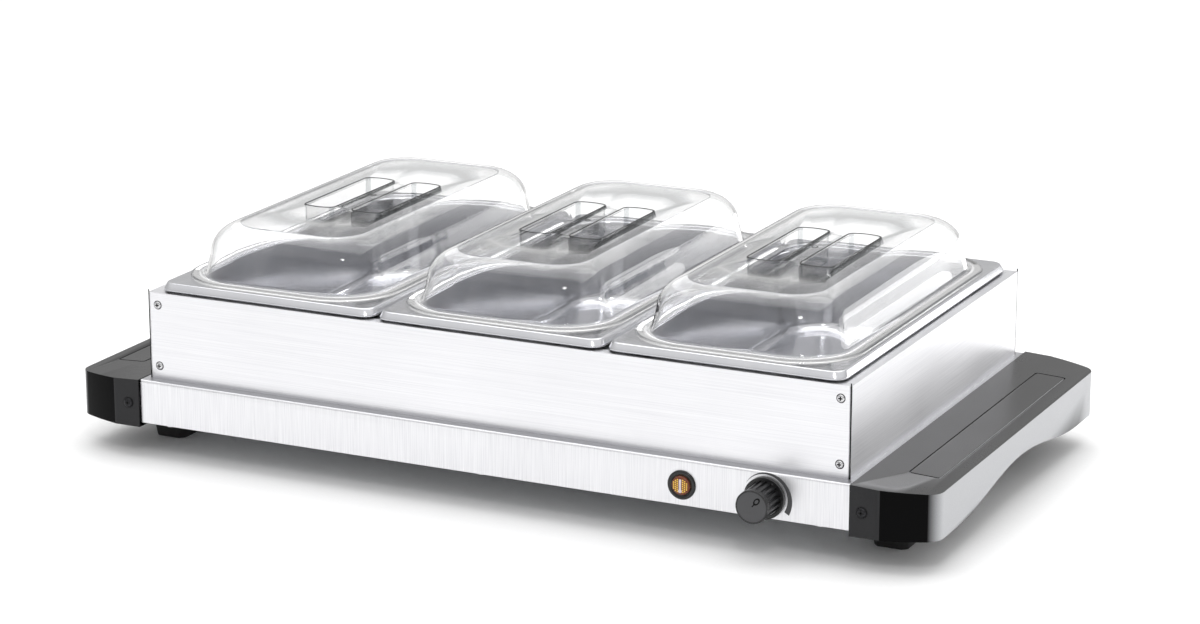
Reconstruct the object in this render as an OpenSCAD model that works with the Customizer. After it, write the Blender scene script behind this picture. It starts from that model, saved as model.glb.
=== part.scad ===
// Electric food warmer tray: three lift-out pans with clear lids over a heated base.
// The origin is on the table, under the middle of the outer box. +X is the right-hand
// side seen from the controls, -Y is the control side and +Z is up. Lengths are millimetres.

/* [Pans] */
// Length of one pan over its rim, front to back
pan_l = 325; // [300:1:340]
// Width of one pan over its rim
pan_w = 176; // [160:1:190]
// Depth of a pan from the top of its rim to its underside
pan_depth = 65; // [50:1:80]
// Wall thickness of a pan
pan_wall = 1; // [0.8:0.1:1.5]
// Gap between the rims of two pans
pan_gap = 3.5; // [2:0.5:6]
// Width of the flat rim round the mouth of a pan
rim_w = 12; // [10:0.5:14]
// Height of a pan's rim from its lip to its top
rim_h = 5.5; // [4.5:0.1:7]
// How far the sloping edge of the rim runs out
rim_slope = 2.4; // [1.5:0.1:3]
// Radius of the rim's outer corners
rim_r = 10; // [6:1:16]
// Corner radius of the mouth of a pan
mouth_r = 40; // [25:1:48]
// How much narrower the floor of a pan is than its mouth, on each side
pan_draft = 5; // [2:0.5:8]
// Radius where the wall of a pan meets its floor
pan_fillet = 9; // [5:1:14]

/* [Lids] */
// Height of a lid above the pan rim
lid_h = 39.3; // [34:0.1:60]
// Wall thickness of a lid
lid_wall = 2; // [1.6:0.1:3]
// How far the lid flange stays inside the outer edge of the pan rim
lid_inset = 4; // [3:0.5:5]
// Width of the lid flange
lid_flange_w = 11.5; // [8:0.5:14]
// Thickness of the lid flange
lid_flange_t = 1.6; // [1.2:0.1:2.5]
// Corner radius of the lid flange
lid_r = 47; // [38:1:50]
// Radius of the dome where its walls meet its top
lid_fillet = 22; // [12:1:25]
// How much narrower the dome is at the top than at the flange, on each side
lid_draft = 3; // [1.5:0.5:6]
// Length of a finger well
well_l = 100; // [80:1:110]
// Width of a finger well
well_w = 25; // [22:0.5:27]
// Depth of a finger well
well_depth = 25; // [20:1:30]
// Width of the grip bar between the two wells
grip_w = 15; // [12:0.5:20]
// Radius of the curved ends of a well
well_end_r = 30; // [22:1:40]
// Corner radius of a well
well_r = 3; // [2:0.5:6]

/* [Casing] */
// Thickness of the casing sheet
sheet = 1; // [0.8:0.1:1.4]
// Margin between the outer pans and the sides of the upper box
side_margin = 7.5; // [5:0.5:15]
// Margin between the pan rims and the front and back of the upper box
front_margin = 2.5; // [2:0.5:8]
// Shadow gap between the top of the box and the lip of the pan rim
rim_gap = 1.5; // [1:0.1:2.5]
// Height of the lower base
base_h = 32.6; // [31:0.2:40]
// Width of the ledge in front of and behind the upper box
ledge = 9.3; // [7:0.1:14]
// Width of the ledge at each side of the upper box
side_ledge = 3.6; // [2:0.1:8]
// Width of the inward flange round the top of the base
ring_w = 36; // [32:1:42]
// Width of the inward flange round the bottom of the base
foot_flange = 9; // [7:0.5:12]
// Width of the inward flanges at the foot of the upper panels
panel_flange = 10; // [8:0.5:14]
// Width of the return flange at each end of a side panel
return_w = 15; // [12:1:20]
// Radius of the folded edge along the front and back of the base
fold_r = 2; // [1.2:0.1:3]

/* [Handles] */
// How far a handle reaches out from the side of the base
handle_w = 59; // [50:1:75]
// How far a handle stands in front of the base
handle_proud = 2.1; // [1.5:0.1:4]
// How far a handle hangs below the underside of the base
handle_drop = 3.2; // [2:0.1:6]
// How much the top of a handle falls towards its outer edge
handle_fall = 3.2; // [0:0.1:5]
// Width of the flat face that takes the handle screw
handle_flat = 20; // [16:0.5:26]
// Radius of the curve that both ends of a handle follow
handle_end_r = 181.3; // [178:0.1:190]
// Radius of the outer corners of a handle
handle_r = 14; // [9:0.5:18]
// Wall thickness of a handle
handle_wall = 3; // [2.5:0.1:4]
// Half the length of the finger arch under a handle
arch_half = 128; // [110:1:135]
// Height of the finger arch
arch_rise = 13.5; // [8:0.5:18]
// Width of the line on top of a handle
groove_w = 1.2; // [0.8:0.1:2]
// Depth of the line on top of a handle
groove_depth = 0.7; // [0.4:0.1:1]

/* [Feet] */
// Height of a foot
foot_h = 23.5; // [16:0.5:30]
// Width of the square sole of a foot
foot_w = 24.5; // [20:0.5:28]
// How much a foot widens from its sole to the handle, on each side
foot_draft = 4.5; // [2:0.5:5]
// Distance of a foot from the middle line, front to back
foot_y = 111.5; // [104:0.5:120]

/* [Controls] */
// Distance of the knob from the middle, to the right
knob_x = 217.6; // [205:0.1:230]
// Distance of the lamp from the middle, to the right
lamp_x = 156; // [120:1:170]
// Radius of the knob at its face
knob_r = 11.7; // [10:0.1:13]
// Radius of the knob at its skirt
knob_skirt_r = 14.6; // [13.5:0.1:15]
// How far the knob reaches out from the base
knob_reach = 23.2; // [18:0.2:26]
// Number of flutes round the knob
flute_count = 18; // [12:1:24]
// Radius of the lamp bezel
bezel_r = 10.4; // [9.5:0.1:12]
// Radius of the regulator shaft
shaft_r = 3; // [2.5:0.1:3.5]
// Radius of the cord bore in the gland
cord_bore_r = 3.8; // [3:0.1:4.5]
// Distance of the cord gland from the middle, to the right
gland_x = 190; // [150:1:220]

/* [Heating] */
// Height of the hot plate above the ledge
hot_lift = 5.2; // [5:0.1:10]
// Air between the hot plate and the pans
pan_air = 1.5; // [1:0.1:4]
// Radius of the heating element's tube
element_r = 3.2; // [2.8:0.1:3.5]
// Distance between two runs of the heating element
element_pitch = 50; // [40:1:60]
// Thickness of the insulation mat
mat_t = 4; // [3:0.5:5]

/* [Hidden] */
$fn = 64;

// Clearances and small common values
overrun = 1;
fit_gap = 0.3;
run_gap = 0.05;
slip_gap = 0.2;
skin_t = 0.01;
hull_fn = 32;
rod_fn = 16;
rod_bulge = 0.2;

// Overall widths and heights, worked out from the pans
pan_count = 3;
pitch = pan_w + pan_gap;
box_w = pan_count * pan_w + (pan_count - 1) * pan_gap + 2 * side_margin;
box_d = pan_l + 2 * front_margin;
base_w = box_w + 2 * side_ledge;
base_d = box_d + 2 * ledge;
handle_z = foot_h;
base_z = handle_z + handle_drop;
ledge_z = base_z + base_h;
hot_z = ledge_z + hot_lift;
pan_z = hot_z + pan_air;
rim_z = pan_z + pan_depth;
box_z = rim_z - rim_h - rim_gap;
lid_z = rim_z + lid_h;
pan_places = [for (i = [0 : pan_count - 1]) (i - (pan_count - 1) / 2) * pitch];
well_x = (grip_w + well_w) / 2;
front_y = -base_d / 2;
back_y = base_d / 2;

// Rim support: a collar under each rim, set in from the rim's edge
collar_inset = 6.2;
collar_t = 1;
frame_flange_side = side_margin + collar_inset - fit_gap;
frame_flange_front = front_margin + collar_inset - fit_gap;
crossbar_w = 12;
crossbar_h = 11;

// Screws and rivets of the upper box
panel_screw_r = 1.9;
panel_head_r = 2.8;
panel_head_t = 1.1;
panel_screw_in = 7.8;
panel_screw_drop = 9.2;
panel_screw_rise = 9.5;
panel_screw_l = 6;
seam_w = 1.5;
panel_screw_places = [for (sx = [-1, 1], z = [ledge_z + panel_screw_rise, box_z - panel_screw_drop])
    [sx * (box_w / 2 - panel_screw_in), z]];

// Bottom plate
plate_t = 0.8;
plate_gap = 0.4;
vent_l = 30;
vent_w = 4;
vent_step = 12;
vent_rows = 6;
vent_x = 130;
bottom_screw_r = 1.6;
bottom_head_r = 3;
bottom_head_t = 1.2;
bottom_screw_l = 4;
bottom_screw_x_shares = [-0.92, 0, 0.92];
bottom_screw_y = base_d / 2 - sheet - (foot_flange - sheet) / 2;
bottom_screw_places = [for (sx = bottom_screw_x_shares, sy = [-1, 1])
    [sx * base_w / 2, sy * bottom_screw_y]];
floor_z = base_z + sheet + plate_t;

// Control line on the front of the base
control_rise = 14.5;
control_z = base_z + control_rise;

// Regulator behind the knob
regulator_w = 26;
regulator_h = 22;
regulator_d = 20;
regulator_back = front_y + sheet + regulator_d;
bush_r = 4.8;
bush_l = 3.6;
nut_af = 12;
nut_t = 2.2;
shaft_in = 8;
shaft_out = 17;
knob_gap = 0.6;
knob_skirt_t = 2.4;
knob_skirt_lip = 2;
flute_in = 0.5;
knob_cavity_r = 10;
knob_cavity_l = 5;
knob_hub_r = 5.2;
knob_cap_t = 3.2;
flute_r = 1.1;
pointer_w = 1.1;
pointer_depth = 0.4;
pointer_in_share = 0.12;
pointer_out_share = 0.82;
pointer_angle = 50;
knob_back = front_y - knob_gap;

// Indicator lamp
bezel_t = 1.5;
bezel_in_r = 7.9;
bezel_floor = 0.8;
sleeve_r = 7.5;
sleeve_l = 10;
lens_gap = 0.2;
lens_t = 3.6;
lens_bulge = 1;
lamp_body_r = 6.2;
lamp_body_l = 24;
lamp_tab_l = 5;
lamp_tab_w = 4;
lamp_tab_t = 0.8;

// Cord gland at the back
gland_out = 8;
gland_flange_r = 9.5;
gland_flange_t = 3;
gland_tip_r = 6.5;
gland_step = 1;
gland_thread_r = 6;
gland_in = 9;
gland_nut_af = 18;
gland_nut_t = 4;

// Bracket inside each handle
bracket_reach = 19;
bracket_t = 1.2;
bracket_top_gap = 1.4;
handle_gap = 0.4;
handle_floor_in = 24;
handle_screw_x = 9.4;
handle_screw_z = 17.8;
handle_screw_r = 2;
handle_head_r = 3.7;
handle_head_t = 1.6;
handle_screw_l = 9;
groove_in = 24;
groove_out = 11;
groove_half = 131;
groove_r = 3;
arch_steps = 24;
handle_x = base_w / 2 + handle_gap;
handle_out = base_w / 2 + handle_w;
handle_half = base_d / 2 + handle_proud;
end_x = handle_x + handle_flat - sqrt(handle_end_r * handle_end_r - handle_half * handle_half);
foot_in = 9.6;
foot_corner_r = 15;
foot_recess_r = 4.6;
foot_recess_l = 9;
foot_screw_r = 2;
foot_head_r = 3.9;
foot_head_t = 2.4;

// Heating parts
hot_t = 1;
hot_gap = 1;
run_count = 4;
turn_in = 4;
leg_rise = 13;
leg_z = base_z + leg_rise;
element_bend_r = 9;
element_pin_r = 1.2;
element_pin_l = 4;
bush_outer_r = 5;
ceramic_l = 7;
clamp_w = 12;
clamp_t = 1.5;
clamp_post = 5;
clamp_over = 12;
clamp_x_shares = [-0.65, 0, 0.65];
reflector_t = 0.8;
reflector_rise = 19.6;
reflector_z = base_z + reflector_rise;
reflector_flange = 10;
reflector_gap = 6;
mat_in = 6;
cutout_r = 8;
cutout_h = 6;
cutout_tab_l = 8;
cutout_tab_w = 5;
cutout_tab_lap = 2;
cutout_x = 60;
hot_in = sheet + panel_flange + hot_gap;
reflector_w = base_w - 2 * ring_w + 2 * reflector_flange;
reflector_d = base_d - 2 * ring_w + 2 * reflector_flange;
tray_w = base_w - 2 * ring_w - 2 * reflector_gap + 2 * reflector_t;
tray_d = base_d - 2 * ring_w - 2 * reflector_gap + 2 * reflector_t;
element_z = hot_z - hot_t - element_r;
run_end = tray_w / 2 - reflector_t - turn_in - element_r - element_pitch / 2;
run_y = [for (i = [0 : run_count - 1]) (i - (run_count - 1) / 2) * element_pitch];
leg_tip = leg_z - element_pin_l;

// Terminal block, earth stud and wires
block_w = 44;
block_d = 18;
block_h = 15;
block_wall = 14;
block_pitch = 12;
block_screw_r = 2;
block_side = 62;
block_x = gland_x - block_side;
block_y = back_y - sheet - block_wall - block_d / 2;
block_front = block_y - block_d / 2;
stud_r = 2;
stud_h = 10;
stud_nut_af = 7;
stud_nut_t = 3;
stud_side = 44;
stud_x = block_x - stud_side;
wire_r = 1.2;
wire_low_rise = 5;
wire_mid_rise = 10;
wire_low = base_z + wire_low_rise;
wire_mid = base_z + wire_mid_rise;

// The knob stands further out than the gland, so the model is moved to lie centred
front_reach = base_d / 2 + knob_reach;
back_reach = base_d / 2 + gland_out;
shift_y = (front_reach - back_reach) / 2;

module place() translate([0, shift_y, 0]) children();

// A rectangle with round corners, centred
module rounded_rect(w, d, r) {
    square([w - 2 * r, d], center = true);
    square([w, d - 2 * r], center = true);
    for (sx = [-1, 1], sy = [-1, 1])
        translate([sx * (w / 2 - r), sy * (d / 2 - r)]) circle(r);
}

// A thin slab of a rounded rectangle, used as one section of a hull
module section(w, d, r, z) translate([0, 0, z]) linear_extrude(skin_t) rounded_rect(w, d, r);

// A box from its low corner to its high corner
module span_box(low, high) translate(low) cube(high - low);

// A box centred in x and y that stands on z
module standing_box(w, d, z, h) translate([-w / 2, -d / 2, z]) cube([w, d, h]);

// A cylinder along +Y that starts at y
module along_y(x, y, z, r, l) translate([x, y, z]) rotate([-90, 0, 0]) cylinder(r = r, h = l);

// A hexagonal prism along +Y with the given distance across its flats
module hex_y(x, y, z, af, l)
    translate([x, y, z]) rotate([-90, 0, 0]) cylinder(r = af / 2 / cos(30), h = l, $fn = 6);

// A round rod through a list of points
module rod(points, r) {
    $fn = rod_fn;
    for (i = [0 : len(points) - 2]) {
        a = points[i];
        b = points[i + 1];
        v = b - a;
        l = norm(v);
        translate(a) rotate([0, acos(v[2] / l), atan2(v[1], v[0])]) cylinder(r = r, h = l);
    }
    if (len(points) > 2)
        for (i = [1 : len(points) - 2]) translate(points[i]) sphere(r + rod_bulge);
}

// Casing

module base_ring(w, d, ring, z, t) {
    difference() {
        standing_box(w, d, z, t);
        standing_box(w - 2 * ring, d - 2 * ring, z - overrun, t + 2 * overrun);
    }
}

module fold_line() {
    for (s = [-1, 1]) scale([1, s, 1])
        difference() {
            translate([-base_w / 2, -base_d / 2, ledge_z - fold_r])
                cube([base_w, fold_r, fold_r]);
            translate([-base_w / 2 - overrun, -base_d / 2 + fold_r, ledge_z - fold_r])
                rotate([0, 90, 0]) cylinder(r = fold_r, h = base_w + 2 * overrun);
        }
}

module base_shell() {
    color("gainsboro") place() difference() {
        union() {
            base_ring(base_w, base_d, sheet, base_z, base_h);
            base_ring(base_w, base_d, ring_w, ledge_z - sheet, sheet);
            base_ring(base_w, base_d, foot_flange, base_z, sheet);
            for (s = [-1, 1]) scale([1, s, 1])
                translate([-base_w / 2, -base_d / 2, ledge_z - fold_r])
                    cube([base_w, fold_r, fold_r]);
        }
        fold_line();
        along_y(knob_x, front_y - overrun, control_z, bush_r + slip_gap, sheet + 2 * overrun);
        along_y(lamp_x, front_y - overrun, control_z, sleeve_r + slip_gap, sheet + 2 * overrun);
        along_y(gland_x, back_y - sheet - overrun, control_z, gland_thread_r + slip_gap,
            sheet + 2 * overrun);
        bottom_screw_holes(base_z);
    }
}

module bottom_screw_holes(z)
    for (p = bottom_screw_places) translate([p[0], p[1], z - overrun])
        cylinder(r = bottom_screw_r + slip_gap, h = sheet + plate_t + 2 * overrun);

module bottom_plate() {
    w = base_w - 2 * sheet - 2 * plate_gap;
    d = base_d - 2 * sheet - 2 * plate_gap;
    color("silver") place() difference() {
        standing_box(w, d, base_z + sheet, plate_t);
        bottom_screw_holes(base_z + sheet);
        for (s = [-1, 1], i = [0 : vent_rows - 1])
            translate([s * vent_x, (i - (vent_rows - 1) / 2) * vent_step, base_z + sheet - overrun])
                linear_extrude(plate_t + 2 * overrun) rounded_rect(vent_l, vent_w, vent_w / 2 - skin_t);
    }
}

module bottom_screws() {
    color("dimgray") place() for (p = bottom_screw_places) translate([p[0], p[1], base_z]) {
        translate([0, 0, -bottom_head_t]) cylinder(r = bottom_head_r, h = bottom_head_t);
        cylinder(r = bottom_screw_r, h = bottom_screw_l);
    }
}

module long_panel() {
    w = box_w - 2 * seam_w;
    flange_l = box_w - 2 * (sheet + fit_gap);
    y = -box_d / 2;
    difference() {
        union() {
            span_box([-w / 2, y, ledge_z], [w / 2, y + sheet, box_z]);
            span_box([-flange_l / 2, y, box_z - sheet], [flange_l / 2, y + frame_flange_front, box_z]);
            span_box([-w / 2 + return_w, y, ledge_z],
                [w / 2 - return_w, y + panel_flange, ledge_z + sheet]);
        }
        for (p = panel_screw_places)
            along_y(p[0], y - overrun, p[1], panel_screw_r + slip_gap, sheet + 2 * overrun);
    }
}

module front_panel() color("gainsboro") place() long_panel();

module back_panel() color("gainsboro") place() scale([1, -1, 1]) long_panel();

module end_panel() {
    x = box_w / 2;
    y = box_d / 2 - sheet - skin_t;
    difference() {
        union() {
            span_box([x - sheet, -y, ledge_z], [x, y, box_z]);
            span_box([x - frame_flange_side, -box_d / 2 + frame_flange_front + fit_gap, box_z - sheet],
                [x, box_d / 2 - frame_flange_front - fit_gap, box_z]);
            span_box([x - panel_flange, -y + return_w, ledge_z], [x, y - return_w, ledge_z + sheet]);
            for (s = [-1, 1]) scale([1, s, 1])
                span_box([x - return_w, -y, ledge_z + sheet + fit_gap],
                    [x, -y + sheet, box_z - 2 * sheet - fit_gap]);
        }
        for (p = panel_screw_places, s = [-1, 1]) if (p[0] > 0)
            along_y(p[0], s * y - sheet - overrun, p[1], panel_screw_r + slip_gap,
                2 * (sheet + overrun));
    }
}

module right_panel() color("gainsboro") place() end_panel();

module left_panel() color("gainsboro") place() scale([-1, 1, 1]) end_panel();

module panel_screws() {
    color("silver") place() for (s = [-1, 1]) scale([1, s, 1]) for (p = panel_screw_places) {
        along_y(p[0], -box_d / 2, p[1], panel_screw_r, panel_screw_l);
        difference() {
            along_y(p[0], -box_d / 2 - panel_head_t, p[1], panel_head_r, panel_head_t);
            along_y(p[0], -box_d / 2 - panel_head_t - overrun, p[1], panel_head_r / 3,
                overrun + panel_head_t / 2);
        }
    }
}

// Pan support

module collar(w, d, z, h)
    translate([0, 0, z]) linear_extrude(h) difference() {
        rounded_rect(w, d, mouth_r + rim_w - collar_inset);
        rounded_rect(w - 2 * collar_t, d - 2 * collar_t, mouth_r + rim_w - collar_inset - collar_t);
    }

module pan_frame() {
    w = box_w - 2 * (sheet + fit_gap);
    d = box_d - 2 * (sheet + fit_gap);
    collar_w = pan_w - 2 * collar_inset;
    collar_l = pan_l - 2 * collar_inset;
    z = box_z - 2 * sheet;
    color("silver") place() {
        difference() {
            standing_box(w, d, z, sheet);
            for (x = pan_places) translate([x, 0, z - overrun]) linear_extrude(sheet + 2 * overrun)
                rounded_rect(collar_w - 2 * collar_t, collar_l - 2 * collar_t,
                    mouth_r + rim_w - collar_inset - collar_t);
        }
        for (x = pan_places) translate([x, 0, 0])
            collar(collar_w, collar_l, z, rim_z - pan_wall - z);
    }
}

module crossbar(x) {
    l = box_d - 2 * (sheet + fit_gap) - 2 * return_w;
    z = box_z - 2 * sheet - crossbar_h;
    translate([x, 0, 0]) difference() {
        standing_box(crossbar_w, l, z, crossbar_h);
        standing_box(crossbar_w - 2 * sheet, l + 2 * overrun, z - overrun, crossbar_h - sheet + overrun);
    }
}

module left_crossbar() color("silver") place() crossbar(-pitch / 2);

module right_crossbar() color("silver") place() crossbar(pitch / 2);

// Heating

module hot_plate() {
    w = box_w - 2 * hot_in;
    d = box_d - 2 * hot_in;
    color("lightgray") place() difference() {
        standing_box(w, d, ledge_z, hot_lift);
        standing_box(w - 2 * hot_t, d - 2 * hot_t, ledge_z - overrun, hot_lift - hot_t + overrun);
    }
}

module element_turn(x, y, side)
    translate([x, y, element_z]) rotate([0, 0, side > 0 ? -90 : 90])
        rotate_extrude(angle = 180) translate([element_pitch / 2, 0]) circle(element_r);

module heating_element() {
    color("dimgray") place() {
        for (y = run_y) translate([-run_end, y, element_z]) rotate([0, 90, 0])
            cylinder(r = element_r, h = 2 * run_end);
        element_turn(-run_end, (run_y[0] + run_y[1]) / 2, -1);
        element_turn(-run_end, (run_y[2] + run_y[3]) / 2, -1);
        element_turn(run_end, (run_y[1] + run_y[2]) / 2, 1);
        for (y = [run_y[0], run_y[3]]) {
            translate([run_end, y, element_z - element_bend_r]) rotate([90, 0, 0])
                rotate_extrude(angle = 90) translate([element_bend_r, 0]) circle(element_r);
            translate([run_end + element_bend_r, y, leg_z])
                cylinder(r = element_r, h = element_z - element_bend_r - leg_z);
            translate([run_end + element_bend_r, y, leg_z - element_pin_l])
                cylinder(r = element_pin_r, h = element_pin_l);
        }
    }
}

module element_bushes() {
    color("white") place() for (y = [run_y[0], run_y[3]])
        translate([run_end + element_bend_r, y, reflector_z - ceramic_l / 2]) difference() {
            cylinder(r = bush_outer_r, h = ceramic_l);
            translate([0, 0, -overrun])
                cylinder(r = element_r + run_gap, h = ceramic_l + 2 * overrun);
        }
}

module element_clamps() {
    l = run_y[run_count - 1] - run_y[0] + 2 * clamp_over;
    z = element_z - element_r - clamp_t;
    color("silver") place() for (s = clamp_x_shares) translate([s * run_end, 0, 0]) {
        standing_box(clamp_w, l, z, clamp_t);
        for (e = [-1, 1]) translate([0, e * (l - clamp_post) / 2, 0])
            standing_box(clamp_w, clamp_post, z, hot_z - hot_t - z);
    }
}

module leg_holes(z, l)
    for (y = [run_y[0], run_y[3]]) translate([run_end + element_bend_r, y, z - overrun])
        cylinder(r = bush_outer_r + slip_gap, h = l + 2 * overrun);

module reflector_tray() {
    flange_z = ledge_z - sheet - reflector_t;
    color("lightgray") place() difference() {
        union() {
            standing_box(tray_w, tray_d, reflector_z, flange_z + reflector_t - reflector_z);
            standing_box(reflector_w, reflector_d, flange_z, reflector_t);
        }
        standing_box(tray_w - 2 * reflector_t, tray_d - 2 * reflector_t, reflector_z + reflector_t,
            ledge_z - reflector_z);
        leg_holes(reflector_z, reflector_t);
    }
}

module insulation_mat() {
    color("wheat") place() difference() {
        standing_box(tray_w - 2 * mat_in, tray_d - 2 * mat_in, reflector_z - mat_t, mat_t);
        leg_holes(reflector_z - mat_t, mat_t);
    }
}

module overheat_cutout() {
    z = hot_z - hot_t - cutout_h;
    color("darkslategray") place() translate([cutout_x, 0, z]) {
        cylinder(r = cutout_r, h = cutout_h);
        for (s = [-1, 1]) translate([s * (cutout_r + cutout_tab_l / 2), 0, 0])
            standing_box(cutout_tab_l + cutout_tab_lap, cutout_tab_w, cutout_h / 2 - sheet, sheet);
    }
}

// Controls

module heat_regulator() {
    y = front_y + sheet;
    color("dimgray") place() difference() {
        union() {
            span_box([knob_x - regulator_w / 2, y, control_z - regulator_h / 2],
                [knob_x + regulator_w / 2, y + regulator_d, control_z + regulator_h / 2]);
            along_y(knob_x, y - sheet - bush_l, control_z, bush_r, bush_l + sheet + overrun);
        }
        along_y(knob_x, y - sheet - bush_l - overrun, control_z, shaft_r + run_gap,
            bush_l + sheet + overrun + shaft_in);
    }
}

module regulator_nut() {
    color("silver") place() difference() {
        hex_y(knob_x, front_y - nut_t, control_z, nut_af, nut_t);
        along_y(knob_x, front_y - nut_t - overrun, control_z, bush_r + run_gap, nut_t + 2 * overrun);
    }
}

module regulator_shaft()
    color("silver") place()
        along_y(knob_x, front_y - shaft_out, control_z, shaft_r, shaft_out + sheet + shaft_in - fit_gap);

module control_knob() {
    l = knob_reach - knob_gap;
    body_r = knob_skirt_r - knob_skirt_lip;
    color("dimgray") place() translate([knob_x, knob_back, control_z]) rotate([90, 0, 0])
        difference() {
            union() {
                cylinder(r = knob_skirt_r, h = knob_skirt_t);
                cylinder(r1 = body_r, r2 = knob_r, h = l);
            }
            translate([0, 0, -overrun]) difference() {
                cylinder(r = knob_cavity_r, h = knob_cavity_l + overrun);
                translate([0, 0, bush_l + overrun]) cylinder(r = knob_hub_r, h = knob_cavity_l);
            }
            translate([0, 0, -overrun])
                cylinder(r = shaft_r + run_gap, h = shaft_out - knob_gap + fit_gap + overrun);
            for (i = [0 : flute_count - 1]) rotate([0, 0, i * 360 / flute_count])
                translate([body_r - flute_in, 0, knob_skirt_t])
                    cylinder(r = flute_r, h = l - knob_skirt_t - knob_cap_t);
            rotate([0, 0, pointer_angle])
                translate([knob_r * pointer_in_share, -pointer_w / 2, l - pointer_depth])
                    cube([knob_r * (pointer_out_share - pointer_in_share), pointer_w,
                        pointer_depth + overrun]);
        }
}

module lamp_bezel() {
    color("black") place() difference() {
        union() {
            along_y(lamp_x, front_y - bezel_t, control_z, bezel_r, bezel_t);
            along_y(lamp_x, front_y - overrun, control_z, sleeve_r, sleeve_l + overrun);
        }
        along_y(lamp_x, front_y - bezel_t - overrun, control_z, bezel_in_r,
            bezel_t - bezel_floor + overrun);
        along_y(lamp_x, front_y - bezel_t, control_z, lamp_body_r + slip_gap,
            bezel_t + sleeve_l + overrun);
    }
}

module lamp_lens() {
    r = bezel_in_r - lens_gap;
    bulge_r = (r * r + lens_bulge * lens_bulge) / (2 * lens_bulge);
    color("orange") place() translate([lamp_x, front_y - bezel_floor, control_z]) rotate([90, 0, 0]) {
        cylinder(r = r, h = lens_t);
        translate([0, 0, lens_t]) intersection() {
            translate([0, 0, lens_bulge - bulge_r]) sphere(bulge_r);
            cylinder(r = r, h = lens_bulge);
        }
    }
}

module lamp_body() {
    color("dimgray") place() {
        along_y(lamp_x, front_y, control_z, lamp_body_r, lamp_body_l);
        for (s = [-1, 1]) translate([lamp_x + s * lamp_body_r / 2, front_y + lamp_body_l, control_z])
            span_box([-lamp_tab_w / 2, 0, -lamp_tab_t / 2], [lamp_tab_w / 2, lamp_tab_l, lamp_tab_t / 2]);
    }
}

// Mains parts

module cord_gland() {
    y = back_y;
    color("black") place() difference() {
        union() {
            along_y(gland_x, y - sheet - gland_in, control_z, gland_thread_r, gland_in + sheet + overrun);
            along_y(gland_x, y, control_z, gland_flange_r, gland_flange_t);
            translate([gland_x, y + gland_flange_t, control_z]) rotate([-90, 0, 0])
                cylinder(r1 = gland_flange_r - gland_step, r2 = gland_tip_r, h = gland_out - gland_flange_t);
        }
        along_y(gland_x, y - sheet - gland_in - overrun, control_z, cord_bore_r,
            gland_in + sheet + gland_out + 2 * overrun);
    }
}

module gland_nut() {
    y = back_y - sheet - gland_nut_t;
    color("black") place() difference() {
        hex_y(gland_x, y, control_z, gland_nut_af, gland_nut_t);
        along_y(gland_x, y - overrun, control_z, gland_thread_r + run_gap, gland_nut_t + 2 * overrun);
    }
}

module terminal_block() {
    color("ivory") place() translate([block_x, block_y, 0]) difference() {
        standing_box(block_w, block_d, floor_z, block_h);
        for (i = [-1 : 1]) translate([i * block_pitch, 0, floor_z + block_h / 2])
            cylinder(r = block_screw_r, h = block_h);
    }
}

module earth_stud() {
    color("goldenrod") place() translate([stud_x, block_y, floor_z]) {
        cylinder(r = stud_r, h = stud_h);
        cylinder(r = stud_nut_af / 2 / cos(30), h = stud_nut_t, $fn = 6);
    }
}

// Leads along the floor of the base, each between two terminals
module internal_wiring() {
    color("firebrick") place() {
        rod([[block_x + block_pitch, block_front, wire_low],
            [block_x + block_pitch, (block_front + regulator_back) / 2, wire_low],
            [knob_x - regulator_w / 4, (block_front + regulator_back) / 2, wire_low],
            [knob_x - regulator_w / 4, regulator_back, wire_low]], wire_r);
        rod([[block_x, block_front, wire_mid],
            [block_x, run_y[3] + element_pitch / 3, wire_mid],
            [run_end + element_bend_r, run_y[3] + element_pitch / 3, wire_mid - 3 * wire_r],
            [run_end + element_bend_r, run_y[3], leg_tip - wire_r]], wire_r);
        rod([[run_end + element_bend_r, run_y[0], leg_tip - wire_r],
            [run_end + element_bend_r, run_y[0] - element_pitch / 2, leg_tip - wire_r],
            [knob_x, run_y[0] - element_pitch / 2, wire_low],
            [knob_x, regulator_back, wire_low]], wire_r);
        rod([[block_x - block_pitch, block_front, wire_low],
            [block_x - block_pitch, block_front - element_pitch / 4, wire_low],
            [stud_x, block_front - element_pitch / 4, wire_low],
            [stud_x, block_y - stud_nut_af / 2 - wire_r - fit_gap, wire_low]], wire_r);
    }
}

// Handles and feet

module each_quarter() for (sx = [-1, 1], sy = [-1, 1]) scale([sx, sy, 1]) children();

module end_bracket() {
    x = base_w / 2;
    y = base_d / 2 - sheet - fit_gap;
    z = handle_z + handle_wall;
    top = ledge_z - handle_wall - bracket_top_gap;
    difference() {
        span_box([x, -y, z], [x + bracket_reach, y, top]);
        span_box([x - overrun, -y + bracket_t, z + bracket_t],
            [x + bracket_reach - bracket_t, y - bracket_t, top - bracket_t]);
        for (s = [-1, 1])
            along_y(x + handle_screw_x, s * y - bracket_t - overrun, handle_z + handle_screw_z,
                handle_screw_r + slip_gap, 2 * (bracket_t + overrun));
        for (s = [-1, 1]) translate([x + foot_in, s * foot_y, z - overrun])
            cylinder(r = foot_screw_r + slip_gap, h = bracket_t + 2 * overrun);
    }
}

module right_end_bracket() color("silver") place() end_bracket();

module left_end_bracket() color("silver") place() scale([-1, 1, 1]) end_bracket();

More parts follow.
